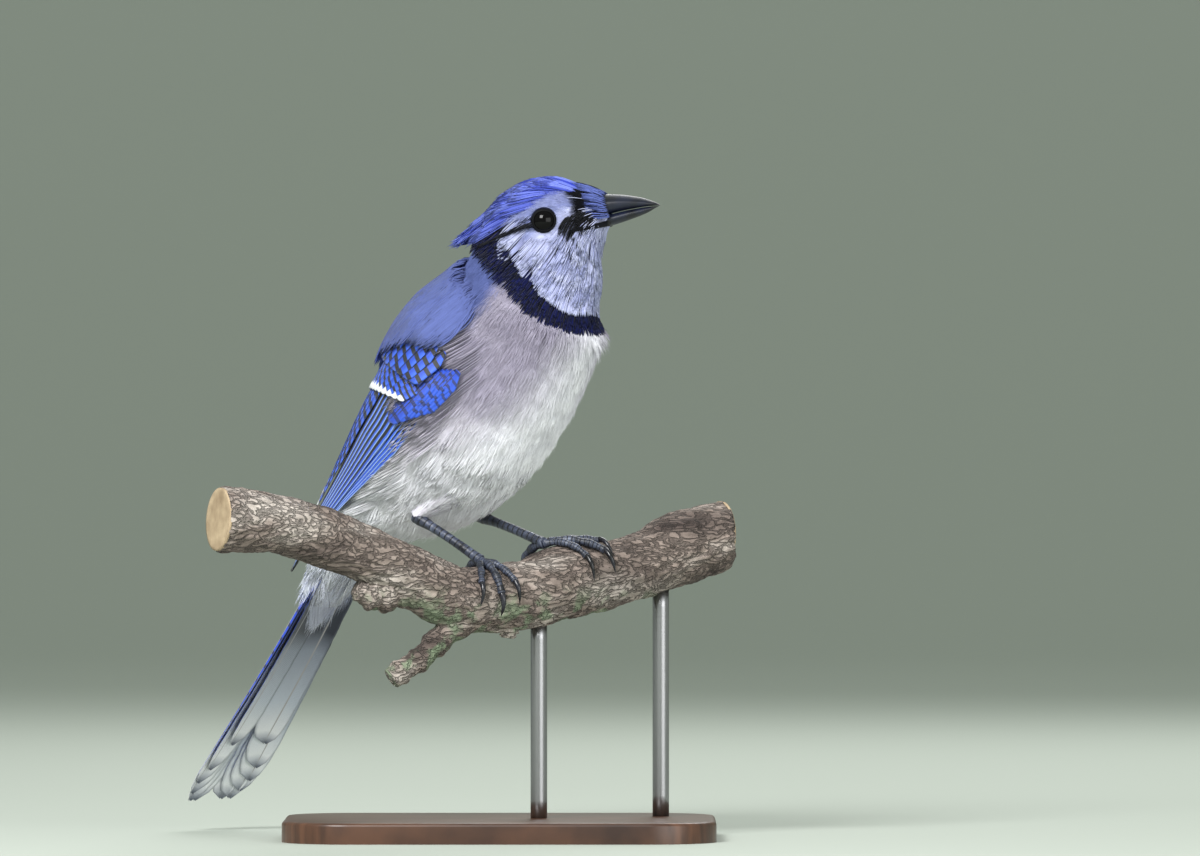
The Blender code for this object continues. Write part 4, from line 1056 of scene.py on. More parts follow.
    def throat(self, finish: Material) -> Object:
        """Streaky barbs over the cheeks and throat down to the necklace."""
        random, group = np.random.default_rng(SEED + 2), Strands("throat_barbs")
        for _ in range(self.throat_clumps):
            s0, a0 = random.uniform(2.8, 7.2), random.uniform(60, 300)
            side = min(a0, 360 - a0)
            near_eye = math.hypot((s0 - EyeSet.section) / 1.0, (side - EyeSet.angle) / 22.0)
            crown = smooth(self.plumage.markings.crown_s, self.plumage.markings.crown_angle, s0)
            if near_eye < 1.0 or side < crown + 6 or (s0 < 4.0 and side < 112):
                continue
            count = 11
            s, a = self.clump(random, s0, a0, (0.09, 2.2), count)
            signed = a - 360 * (a > 180)
            ends = smooth(self.plumage.markings.necklace_angle, self.plumage.markings.necklace_s,
                          np.clip(np.abs(signed), 0, 180))
            length = np.minimum(random.uniform(6, 9, count), (ends - 0.45 - s) * 6.4 + 1.0)
            paths = self.lie(s, a, np.clip(length, 2.0, 9.0), -1.0, random.uniform(0.2, 1.3))
            tint = mix(Tint.FACE, Tint.FACE_SHADE, np.array(random.uniform(0, 1) ** 1.5))
            if random.uniform() < 0.10 and s0 < 5.6:
                tint = np.array(Tint.FACE_SHADE) * 0.45
            group.add(paths, 0.19, tint, self.plumage.uv(s, signed), random.uniform(0.9, 1.12, count))
        return group.build(finish)

    def collar(self, finish: Material) -> Object:
        """Black feathers of the necklace, laid over the ends of the throat feathers."""
        random, group = np.random.default_rng(SEED + 4), Strands("collar_barbs")
        count = self.collar_strands
        a = random.uniform(-180, 180, count)
        lines = self.plumage.markings
        s = smooth(lines.necklace_angle, lines.necklace_s, np.abs(a)) - 0.35
        s = s + lines.necklace_half * (1 + 0.35 * step(130.0, 60.0, np.abs(a))) * random.uniform(-0.9, 0.6, count)
        paths = self.lie(s, a, random.uniform(4.0, 6.5, count), -0.9, 0.7)
        tint = mix(Tint.NECKLACE, Tint.CROWN_DEEP, random.uniform(0, 0.16, count))
        group.add(paths, 0.34, tint, self.plumage.uv(s, a), 1.0)
        return group.build(finish)

    def mantle(self, wings: "Wings", hand: int, name: str, finish: Material) -> Object:
        """Shoulder feathers that hide the roots of the wing coverts."""
        random, group = np.random.default_rng(SEED + 3 + hand), Strands(name)
        table = np.array(self.plumage.shape.trunk)[::-1]
        for _ in range(self.mantle_clumps):
            a0 = random.uniform(-5, 82)
            tip = float(np.interp(a0, self.mantle_angle, self.mantle_tip))
            start = random.uniform(min(tip + 14, 40), 46)
            end = max(start - random.uniform(16, 24), tip - random.uniform(0, 4))
            count = 15
            a = a0 + random.normal(0, 1.0, count)[:, None] + (
                random.normal(0, 3.0, count)[:, None] * np.sin(np.pi * SHARES * 0.8)[None, :])
            along = start + random.normal(0, 0.8, count)[:, None] + (
                end - start) * SHARES[None, :] * random.uniform(0.85, 1.0, count)[:, None]
            height = np.interp(along, (-16, 0, 10, 22, 34, 46), (6.6, 7.2, 7.0, 5.6, 1.6, -1.0))
            height = height * np.interp(a, (80, 100), (1.0, 0.75)) + random.uniform(-0.5, 0.4)
            height[:, 0] -= 2.2
            paths = wings.point(along, a, height, hand)
            deep = np.clip((10 - end) / 26 + (a0 - 50) / 130, 0, 1) * random.uniform(0.3, 1.1)
            tint = mix(Tint.MANTLE, Tint.MANTLE_DEEP, np.clip(np.array(deep), 0, 1))
            s = 10 + np.interp(-along[:, 0], -table[::-1, 0], np.arange(len(table)))
            group.add(paths, 0.34, tint, self.plumage.uv(s, hand * a[:, 0]), random.uniform(0.88, 1.1, count))
        return group.build(finish)

    def flank(self, hand: int, name: str, finish: Material) -> Object:
        """Loose feathers of the flank, belly and vent; the upper ones lap over the wing's edge."""
        random, group = np.random.default_rng(SEED + 5 + hand), Strands(name)
        for _ in range(self.flank_clumps):
            s0 = random.uniform(9.7, 17.2)
            a0 = random.uniform(84, 112) if s0 < 12.0 else random.uniform(97, 178)
            over = a0 < 116
            count = 12
            s, a = self.clump(random, s0, a0, (0.08, 2.2), count)
            length = random.uniform(0.7, 1.0, count) * (21.0 if over else 15.0)
            high = random.uniform(3.0, 5.8) if over else random.uniform(0.4, 2.4)
            paths = self.lie(s, a * hand, length, -1.2, high, -hand * (15.0 if over else 2.0))
            tint = self.plumage.markings.tints(np.array([s0]), np.array([a0 + 8.0]),
                                               np.array([random.uniform(-1, 1)]))[0]
            group.add(paths, 0.2, tint, self.plumage.uv(s, a * hand), random.uniform(0.92, 1.14, count))
        return group.build(finish)

    def shank(self, ankle: Array, knee: Array, name: str, finish: Material) -> Object:
        """Short feathers that taper from the belly down to the ankle."""
        random, group = np.random.default_rng(SEED + 9), Strands(name)
        run = unit(knee - ankle)
        side = unit(np.cross(run, np.array([0.0, 0.0, 1.0])))
        up = np.cross(side, run)
        count = self.shank_strands
        turn = random.uniform(0, 2 * math.pi, count)
        radial = np.cos(turn)[:, None] * side + np.sin(turn)[:, None] * up
        start = random.uniform(3.0, 19.0, count)
        reach = np.clip(start[:, None] - SHARES[None, :] * random.uniform(6, 9, count)[:, None], -0.6, 20)
        radius = np.interp(reach, (-0.6, 1.5, 8, 19), (2.5, 3.0, 5.4, 9.0))
        radius[:, 0] -= 0.8
        paths = ankle + run * reach[..., None] + radial[:, None] * radius[..., None]
        paths[:, :, 2] -= 0.5 * SHARES[None, :]
        keep = np.linalg.norm(paths[:, -1] - paths[:, 0], axis=1) > 2.5
        tint = mix(Tint.BELLY, Tint.FLANK, random.uniform(0, 1, count))
        group.add(paths[keep], 0.2, tint[keep], self.plumage.uv(np.full(keep.sum(), 14.0), np.full(
            keep.sum(), 150.0)), random.uniform(0.9, 1.1, keep.sum()))
        return group.build(finish)

    def undertail(self, finish: Material) -> Object:
        """Long soft coverts that wrap the tail's root."""
        random, group = np.random.default_rng(SEED + 12), Strands("tail_coverts")
        for _ in range(self.undertail_clumps):
            s0, a0 = random.uniform(15.6, 18.6), random.uniform(-180, 180)
            count = 12
            s, a = self.clump(random, s0, a0, (0.06, 4.0), count)
            paths = self.lie(s, a, random.uniform(15, 23, count), -1.0, random.uniform(0.6, 2.2))
            top = np.array(step(70, 50, abs(a0)))
            tint = mix(mix(Tint.UNDERTAIL, Tint.WHITE, np.array(random.uniform(0, 0.7))), Tint.MANTLE, top)
            group.add(paths, 0.24, tint, self.plumage.uv(s, a), random.uniform(0.86, 1.08, count))
        return group.build(finish)


class FeatherKind(Enum):
    """How a large feather is marked."""

    PRIMARY = "primary"
    SECONDARY = "secondary"
    TERTIAL = "tertial"
    GREATER = "greater_covert"
    MEDIAN = "median_covert"
    PRIMARY_COVERT = "primary_covert"
    TAIL = "tail"


@dataclass(frozen=True)
class VaneShape:
    """Outline and relief of one large feather."""

    rows: int = 26
    columns: int = 13
    thickness: float = 0.28
    outer: float = 4.0
    inner: float = 6.0
    round_tip: float = 0.16
    camber: float = 0.5


class Feathers:
    """Makes many large feathers as one mesh with a UV patch for each."""

    def __init__(self, name: str, shape: VaneShape, patches: int) -> None:
        """Starts an empty group of feathers.

        Args:
            name: Object name.
            shape: Outline shared by the feathers.
            patches: Number of UV patches in the map.
        """
        self.name, self.shape, self.patches = name, shape, patches
        self.points, self.faces, self.uvs, self.locals = [], [], [], []
        self.total = 0

    def add(self, path: Array, side: Array, normal: Array, patch: int, outer: float, inner: float) -> None:
        """Adds one feather.

        Args:
            path: Shaft points from root to tip.
            side: Unit vectors towards the outer web, per shaft point.
            normal: Unit vectors of the upper face, per shaft point.
            patch: Which UV patch it takes.
            outer: Width of the outer web.
            inner: Width of the inner web.
        """
        shape = self.shape
        share = np.linspace(0, 1, shape.rows)
        source = np.linspace(0, 1, len(path))
        middle = np.stack([smooth(source, path[:, i], share) for i in range(3)], axis=-1)
        side = unit(np.stack([np.interp(share, source, side[:, i]) for i in range(3)], axis=-1))
        normal = unit(np.stack([np.interp(share, source, normal[:, i]) for i in range(3)], axis=-1))
        grow = np.minimum(1.0, 0.35 + share * 2.4)
        tip = np.sqrt(np.clip(1 - ((share - 1 + shape.round_tip) / shape.round_tip).clip(0, 1) ** 2, 0.004, 1))
        across = np.linspace(-1, 1, shape.columns)
        reach = np.where(across[None, :] > 0, outer, inner) * (grow * tip)[:, None]
        random = np.random.default_rng(patch + 31)
        ragged = 1.0 + 0.02 * random.normal(size=(shape.rows, 1)) * np.abs(across)[None, :]
        offset = across[None, :] * reach * ragged
        sink = shape.camber * (np.abs(across)[None, :] ** 1.7) * grow[:, None]
        ridge = 0.22 * np.exp(-(across / 0.09) ** 2)[None, :] * (1 - 0.6 * share)[:, None]
        sweep = (np.abs(across)[None, :] * reach) * 0.16
        run = unit(np.gradient(middle, axis=0))
        base = (middle[:, None, :] + side[:, None, :] * offset[..., None]
                + run[:, None, :] * (sweep - 0.16 * reach)[..., None])
        half = shape.thickness / 2 * (1 - 0.5 * np.abs(across)[None, :]) * np.ones((shape.rows, 1))
        top = base + normal[:, None, :] * (half + ridge - sink)[..., None]
        low = base - normal[:, None, :] * (half + ridge * 0.7 + sink)[..., None]
        count = shape.rows * shape.columns
        start = self.total
        self.points += [top.reshape(-1, 3), low.reshape(-1, 3)]
        local = np.stack(np.broadcast_arrays(across[None, :], share[:, None], random.uniform()), axis=-1)
        self.locals += [local.reshape(-1, 3), local.reshape(-1, 3) + np.array([0.0, 0.0, 2.0])]
        strip = 1.0 / self.patches
        u = (patch + 0.5 + 0.42 * across[None, :] * np.ones((shape.rows, 1))) * strip
        v = 0.01 + 0.48 * share[:, None] * np.ones((1, shape.columns))
        self.uvs += [np.stack([u, v], -1).reshape(-1, 2), np.stack([u, v + 0.5], -1).reshape(-1, 2)]
        self.faces += Builder.grid_faces(shape.rows, shape.columns, offset=start)
        self.faces += [tuple(reversed(f)) for f in
                       Builder.grid_faces(shape.rows, shape.columns, offset=start + count)]
        rim = ([j for j in range(shape.columns)]
               + [i * shape.columns + shape.columns - 1 for i in range(1, shape.rows)]
               + [(shape.rows - 1) * shape.columns + j for j in range(shape.columns - 2, -1, -1)]
               + [i * shape.columns for i in range(shape.rows - 2, 0, -1)])
        for a, b in zip(rim, rim[1:] + rim[:1]):
            self.faces.append((start + b, start + a, start + count + a, start + count + b))
        self.total += 2 * count

    def build(self, finish: Material) -> Object:
        """Joins the feathers into one object."""
        made = Builder.mesh(self.name, np.vstack(self.points), self.faces, finish, np.vstack(self.uvs))
        Builder.attribute(made, "vane", "FLOAT_VECTOR", np.vstack(self.locals))
        Builder.face_out(made)
        return made


class FeatherFinish:
    """Materials of the large feathers, painted by place on each feather."""

    def __init__(self, kind: FeatherKind) -> None:
        """Builds the material of one kind."""
        self.kind = kind
        self.finish = Finish(f"feather_{kind.value}", Tint.WING_BLUE, 0.45)
        self.finish.set("Sheen Weight", 0.15)
        self.across, self.along, phase = self.finish.split(self.finish.attribute("vane", "Vector"))
        self.below = self.finish.math("GREATER_THAN", phase, 1.5)
        self.phase = self.finish.math("FRACT", phase)
        self._paint()

    @property
    def made(self) -> Material:
        """The Blender material."""
        return self.finish.made

    def _bars(self, count: float, width: float) -> object:
        """Dark bars across the feather, out of step with its neighbours'."""
        f = self.finish
        place = f.math("ADD", f.math("MULTIPLY", self.along, count), self.phase)
        place = f.math("ADD", place, f.math("MULTIPLY", f.noise(60.0), 0.2))
        wave = f.math("SINE", f.math("MULTIPLY", place, 2 * math.pi))
        return f.between(wave, width - 0.14, width + 0.14)

    def _tail(self) -> object:
        """Blue barred uppersides; undersides slate at the root and pale towards the tip, with painted shade along their
        side edges where the feathers overlap.
        """
        f = self.finish
        under = f.ramp(self.along, ((0.0, Tint.TAIL_UNDER), (0.46, Tint.TAIL_UNDER), (0.56, colour(158, 166, 184)),
                                    (0.8, Tint.TAIL_PALE), (0.95, Tint.WHITE), (1.0, colour(120, 128, 150))))
        # Painted shade: the underside darkens towards both side edges, where neighbouring feathers overlap it.
        edge = f.math("ABSOLUTE", self.across)
        under = f.blend(under, colour(84, 92, 118), f.math("MULTIPLY", f.between(edge, 0.8, 1.0), 0.4))
        upper = f.blend(Tint.WING_BLUE, Tint.WING_BLACK, f.math("MULTIPLY", self._bars(17.0, 0.72), 0.85))
        upper = f.blend(upper, Tint.WHITE, f.between(self.along, 0.9, 0.95))
        return f.blend(upper, under, self.below)

    def _paint(self) -> None:
        """Lays the colours of the kind over each other."""
        f = self.finish
        edge = f.math("ABSOLUTE", self.across)
        streak = f.noise(900.0, 2.0, stretch=(1.0, 0.12, 1.0), vector=f.attribute("vane", "Vector"))
        if self.kind is FeatherKind.TAIL:
            base = self._tail()
        elif self.kind in (FeatherKind.PRIMARY, FeatherKind.SECONDARY):
            base = f.blend(Tint.WING_SOFT, Tint.WING_BLUE, f.between(self.along, 0.2, 0.7))
            base = f.blend(base, Tint.WING_BLACK, f.between(f.math("MULTIPLY", self.across, -1.0), -0.7, -0.6))
            base = f.blend(base, Tint.WING_PALE, f.between(self.across, 0.86, 0.93))
            base = f.blend(base, Tint.WING_BLACK, f.between(self.along, 0.93, 0.99))
        elif self.kind is FeatherKind.PRIMARY_COVERT:
            inner = f.math("MULTIPLY", self.across, -1.0)
            base = f.blend(Tint.WING_BLUE, Tint.WING_BLACK, f.math("MULTIPLY", f.between(inner, 0.2, 0.7), 0.8))
            base = f.blend(base, Tint.WING_SOFT, f.math("MULTIPLY", f.between(self.across, 0.5, 0.95), 0.6))
            base = f.blend(base, Tint.WING_BLACK, f.math("MULTIPLY", self._bars(6.0, 0.5), 0.75))
        else:
            bright = f.blend(Tint.WING_BLUE, Tint.WING_SOFT, f.between(self.across, 0.2, 0.8))
            inner = f.math("MULTIPLY", self.across, -1.0)
            base = f.blend(bright, Tint.WING_BLACK, f.between(inner, 0.0, 0.3))
            bars = {FeatherKind.TERTIAL: (15.0, 0.1), FeatherKind.GREATER: (5.5, 0.25),
                    FeatherKind.MEDIAN: (4.0, 0.3)}[self.kind]
            base = f.blend(base, Tint.WING_BLACK, self._bars(*bars))
            white = {FeatherKind.TERTIAL: 0.95, FeatherKind.GREATER: 0.80, FeatherKind.MEDIAN: 1.3}[self.kind]
            base = f.blend(base, Tint.WHITE, f.between(self.along, white - 0.02, white + 0.02))
        shade = f.ramp(streak, ((0.3, (0.72, 0.72, 0.74)), (0.7, (1.0, 1.0, 1.0))))
        base = f.blend(base, shade, 0.8, "MULTIPLY")
        shaft = f.between(edge, 0.06, 0.03)
        tint = Tint.SHAFT if self.kind is FeatherKind.TAIL else Tint.WING_BLACK
        f.paint(f.blend(base, tint, shaft))
        place = f.math("ADD", f.math("MULTIPLY", self.along, 40.0), f.math("MULTIPLY", edge, -1.6))
        barbs = f.add("ShaderNodeTexWave", {
            "Vector": f.add("ShaderNodeCombineXYZ", {"Y": place}).outputs[0], "Scale": 1.4},
            bands_direction="Y", wave_profile="SIN")
        f.bump(barbs.outputs["Fac"], 0.35, 0.0002)


@dataclass
class Wings:
    """The two folded wings."""

    shape: BodyShape
    bed: Rows = (
        (40.0, 35.2, 28.3, 0.0), (30.0, 35.4, 30.7, 0.0), (18.0, 34.6, 32.7, 0.0),
        (4.0, 33.4, 33.2, 0.0), (-12.0, 31.0, 32.2, 0.0), (-28.0, 29.2, 29.5, 0.5),
        (-42.0, 27.0, 26.1, 1.0), (-56.0, 24.6, 23.5, 1.5), (-70.0, 23.0, 20.9, 1.8),
        (-86.0, 21.0, 18.5, 2.0), (-104.0, 19.0, 16.5, 2.0))

    def point(self, along: Array, angle: Array, height: Array, hand: int) -> Array:
        """Points at a height above the bed of the folded wing."""
        table = np.array(sorted(self.bed))
        back, side, lift = (smooth(table[:, 0], table[:, i], along) for i in (1, 2, 3))
        a = np.radians(angle)
        return self.shape.trunk_point(along, lift + (back + height) * np.cos(a),
                                      hand * (side + height) * np.sin(a))

    def feather(self, group: Feathers, patch: int, root: tuple, tip: tuple, outer: float, inner: float,
                heights: tuple, tilt: float, hand: int) -> None:
        """Lays one feather back along the wing, its lower edge lifted over the next."""
        share = np.linspace(0, 1, 9)
        along = between((root[0], tip[0]), share)
        angle = between((root[1], tip[1]), share ** 1.5)
        height = between(heights, share)
        path = self.point(along, angle, height, hand)
        outward = unit(self.point(along, angle, height + 1, hand) - path)
        down = unit(self.point(along, angle + 1, height, hand) - path)
        lean = math.radians(tilt)
        side = down * math.cos(lean) + outward * math.sin(lean)
        normal = outward * math.cos(lean) - down * math.sin(lean)
        group.add(path, side, normal, patch, outer, inner)

    def build(self, side_name: str, hand: int, finishes: dict[FeatherKind, Material]) -> list[Object]:
        """All feather groups of one wing."""
        made = []
        # Number, then root and tip as pairs along the trunk and round it, first feather to last.
        layout = {
            FeatherKind.PRIMARY: (7, (-2, 2), (99, 82), (-80, -104), (54, 29), 3.4, 5.2, (1.6, 2.0), 12.0),
            FeatherKind.SECONDARY: (6, (0, 2), (86, 62), (-72, -77), (60, 40), 3.5, 5.6, (2.2, 3.0), 12.0),
            FeatherKind.TERTIAL: (7, (4, 4), (58, 24), (-74, -46), (36, 15), 3.9, 6.0, (2.8, 4.2), 9.0),
            FeatherKind.GREATER: (12, (8, 5), (88, 24), (-4, -22), (80, 22), 3.5, 4.2, (2.6, 4.6), 12.0),
            FeatherKind.PRIMARY_COVERT: (6, (22, 16), (104, 92), (0, -14), (100, 84), 4.4, 4.4, (3.0, 4.0), 10.0),
            FeatherKind.MEDIAN: (11, (24, 17), (90, 24), (6, -6), (84, 24), 3.8, 4.4, (3.4, 5.4), 12.0),
        }
        for kind, (count, root_t, root_a, tip_t, tip_a, outer, inner, heights, tilt) in layout.items():
            rows = 30 if kind in (FeatherKind.PRIMARY, FeatherKind.SECONDARY) else 20
            group = Feathers(f"{kind.value}_{side_name}", VaneShape(rows=rows), count)
            for k in range(count):
                share = k / (count - 1)
                root = (between(root_t, share), between(root_a, share))
                tip = (between(tip_t, share), between(tip_a, share))
                self.feather(group, k, root, tip, outer, inner, heights, tilt, hand)
            made.append(group.build(finishes[kind]))
        return made


@dataclass
class Tail:
    """The twelve tail feathers."""

    shape: BodyShape
    pitch: float = 54.5
    length: float = 140.0
    layer: float = 0.85
    layout: Rows = (
        (1.0, 2.0, 8.5, 0.0), (0.995, 3.4, 12.5, 1.0), (0.965, 4.6, 15.0, 2.0),
        (0.925, 5.6, 16.0, 3.0), (0.875, 6.4, 14.5, 4.0), (0.785, 7.0, 10.5, 5.0))

    def build(self, finish: Material) -> Object:
        """Lays the feathers from the coverts to their tips."""
        forward, dorsal, right = axes(self.shape.trunk_yaw, self.pitch)
        root = self.shape.trunk_point(np.array(-66.0), np.array(12.5), np.array(0.0))
        group = Feathers("tail_feathers", VaneShape(rows=36, columns=15, round_tip=0.12, camber=0.9), 14)
        for k, (share, base, tip, layer) in enumerate(self.layout):
            for hand in (1, -1):
                part = np.linspace(0.09, 1.0, 10)
                side = base + (tip - base) * part
                drop = (layer + (0.42 if hand > 0 else 0.0)) * self.layer * (0.55 + 0.45 * part)
                drop = drop + 1.5 * np.sin(np.pi * part)
                path = (root - forward * (self.length * share * part)[:, None]
                        - dorsal * drop[:, None] + right * (hand * side)[:, None])
                lean = math.radians(5.0 + 1.2 * k)
                across = right * hand * math.cos(lean) - dorsal * math.sin(lean)
                normal = dorsal * math.cos(lean) + right * hand * math.sin(lean)
                group.add(path, np.tile(across, (10, 1)), np.tile(normal, (10, 1)),
                          2 * k + (hand > 0), 5.4, 10.5)
        for base, tip, drop, reach in ((3.0, 9.0, -0.7, 0.93), (4.6, 11.5, 0.6, 0.9)):
            part = np.linspace(0.09, reach, 10)
            side = base + (tip - base) * part
            lean = np.radians(58.0 - 34.0 * part ** 2)[:, None]
            path = (root - forward * (self.length * part)[:, None] - dorsal * (drop + 1.5 * np.sin(
                np.pi * part))[:, None] + right * (side + 4.0)[:, None])
            across = right * np.cos(lean) - dorsal * np.sin(lean)
            normal = dorsal * np.cos(lean) + right * np.sin(lean)
            group.add(path, across, normal, 12 + int(base > 4), 3.0, 2.6)
        return group.build(finish)


@dataclass
class EyeSet:
    """Glossy eyeballs and dark lids."""

    shape: BodyShape
    radius: float = 5.3
    sink: float = 3.4
    lid: float = 4.3
    section = 4.75
    angle = 80.0

    def frame(self, hand: int) -> tuple[Array, Array]:
        """Centre of an eyeball and the direction in which it looks."""
        surface = self.shape.points(np.array(self.section), np.array(hand * self.angle))
        row = self.shape.sections(np.array(self.section))
        forward, _, right = axes(row[4], 0.0)
        outward = unit(right * hand + forward * 0.16)
        return surface - outward * self.sink, outward

    def build(self, hand: int, side_name: str, eye: Material, lid: Material) -> tuple:
        """One eyeball and its lids."""
        centre, outward = self.frame(hand)
        bpy.ops.mesh.primitive_uv_sphere_add(segments=48, ring_count=24, radius=self.radius * MM)
        ball = bpy.context.object
        ball.name = f"eyeball_{side_name}"
        ball.data.transform(Vector(outward).to_track_quat("Z", "Y").to_matrix().to_4x4())
        ball.data.transform(Matrix.Translation(Vector(centre) * MM))
        ball.data.materials.append(eye)
        ball.data.shade_smooth()
        up = unit(np.array([0.0, 0.0, 1.0]) - outward * outward[2])
        side = np.cross(outward, up)
        turn = np.linspace(0, 2 * math.pi, 64, endpoint=False)
        height = math.sqrt(self.radius ** 2 - self.lid ** 2)
        ring = []
        for t in turn:
            squeeze = 1.0 - 0.07 * abs(math.sin(t)) ** 3
            middle = centre + outward * (height + 0.25) + self.lid * (
                math.cos(t) * side + math.sin(t) * up * squeeze)
            radial = unit(middle - centre)
            tangent = unit(np.cross(outward, radial))
            other = np.cross(tangent, radial)
            thick = 0.62 + 0.12 * math.sin(t)
            ring.append([middle + thick * (math.cos(b) * radial * 0.7 + math.sin(b) * other)
                         for b in np.linspace(0, 2 * math.pi, 10, endpoint=False)])
        ring = np.array(ring)
        faces = Builder.grid_faces(64, 10, wrap=True)
        for j in range(10):
            a, b = 63 * 10 + j, 63 * 10 + (j + 1) % 10
            faces.append((a, b, (j + 1) % 10, j))
        rim = Builder.mesh(f"lid_{side_name}", ring.reshape(-1, 3), faces, lid)
        Builder.face_out(rim)
        return ball, rim


@dataclass
class Bill:
    """The two halves of the bill."""

    ridge_x: tuple = (36.4, 46.2, 53.8, 58.8, 61.6)
    ridge_z: tuple = (247.7, 247.4, 246.4, 244.9, 243.5)
    edge_x: tuple = (38.5, 46.5, 52.0, 57.0, 61.4)
    edge_z: tuple = (238.9, 241.0, 242.1, 242.9, 243.2)
    keel_x: tuple = (42.4, 47.5, 52.8, 57.0, 59.8)
    keel_z: tuple = (235.3, 236.9, 238.8, 240.6, 242.3)
    half: tuple = (5.5, 4.3, 3.2, 1.9, 0.35)
    root: tuple = (40.2, -13.9)
    yaw: float = 6.0

    def _rings(self, top: tuple, bottom: tuple, widths: Array, ridge_up: bool) -> Array:
        """Rings between two profiles of (x, z)."""
        forward, _, right = axes(self.yaw, 0.0)
        share = np.linspace(0, 1, 40) ** 0.8
        at = np.linspace(0, 1, 5)
        t = np.stack([smooth(at, c, share) for c in top], -1)
        b = np.stack([smooth(at, c, share) for c in bottom], -1)
        w = smooth(at, widths, share)
        turn = np.linspace(0, 2 * math.pi, 28, endpoint=False)
        up = np.cos(turn)
        peak = np.maximum(0, up if ridge_up else -up)
        spread = 1 - 0.5 * peak ** 1.5
        middle, rise = (t + b) / 2, (t - b) / 2
        xz = middle[:, None, :] + rise[:, None, :] * up[None, :, None]
        reach = (xz[..., 0] - self.root[0]) / forward[0]
        base = np.stack([xz[..., 0], self.root[1] + forward[1] * reach, xz[..., 1]], -1)
        return base + right * (np.sin(turn)[None, :] * w[:, None] * spread[None, :])[..., None]

    def build(self, finish: Material) -> tuple[Object, Object]:
        """Upper and lower halves, with the line of the mouth between them."""
        edge = np.array(self.edge_z)
        upper = Builder.loft("bill_top", self._rings((self.ridge_x, self.ridge_z),
                             (self.edge_x, edge + 0.05), np.array(self.half), True), finish)
        lower = Builder.loft("bill_bottom", self._rings((tuple(np.array(self.edge_x) - 0.2), edge - 0.15),
                             (self.keel_x, self.keel_z), np.array(self.half) * 0.86, False), finish)
        return upper, lower


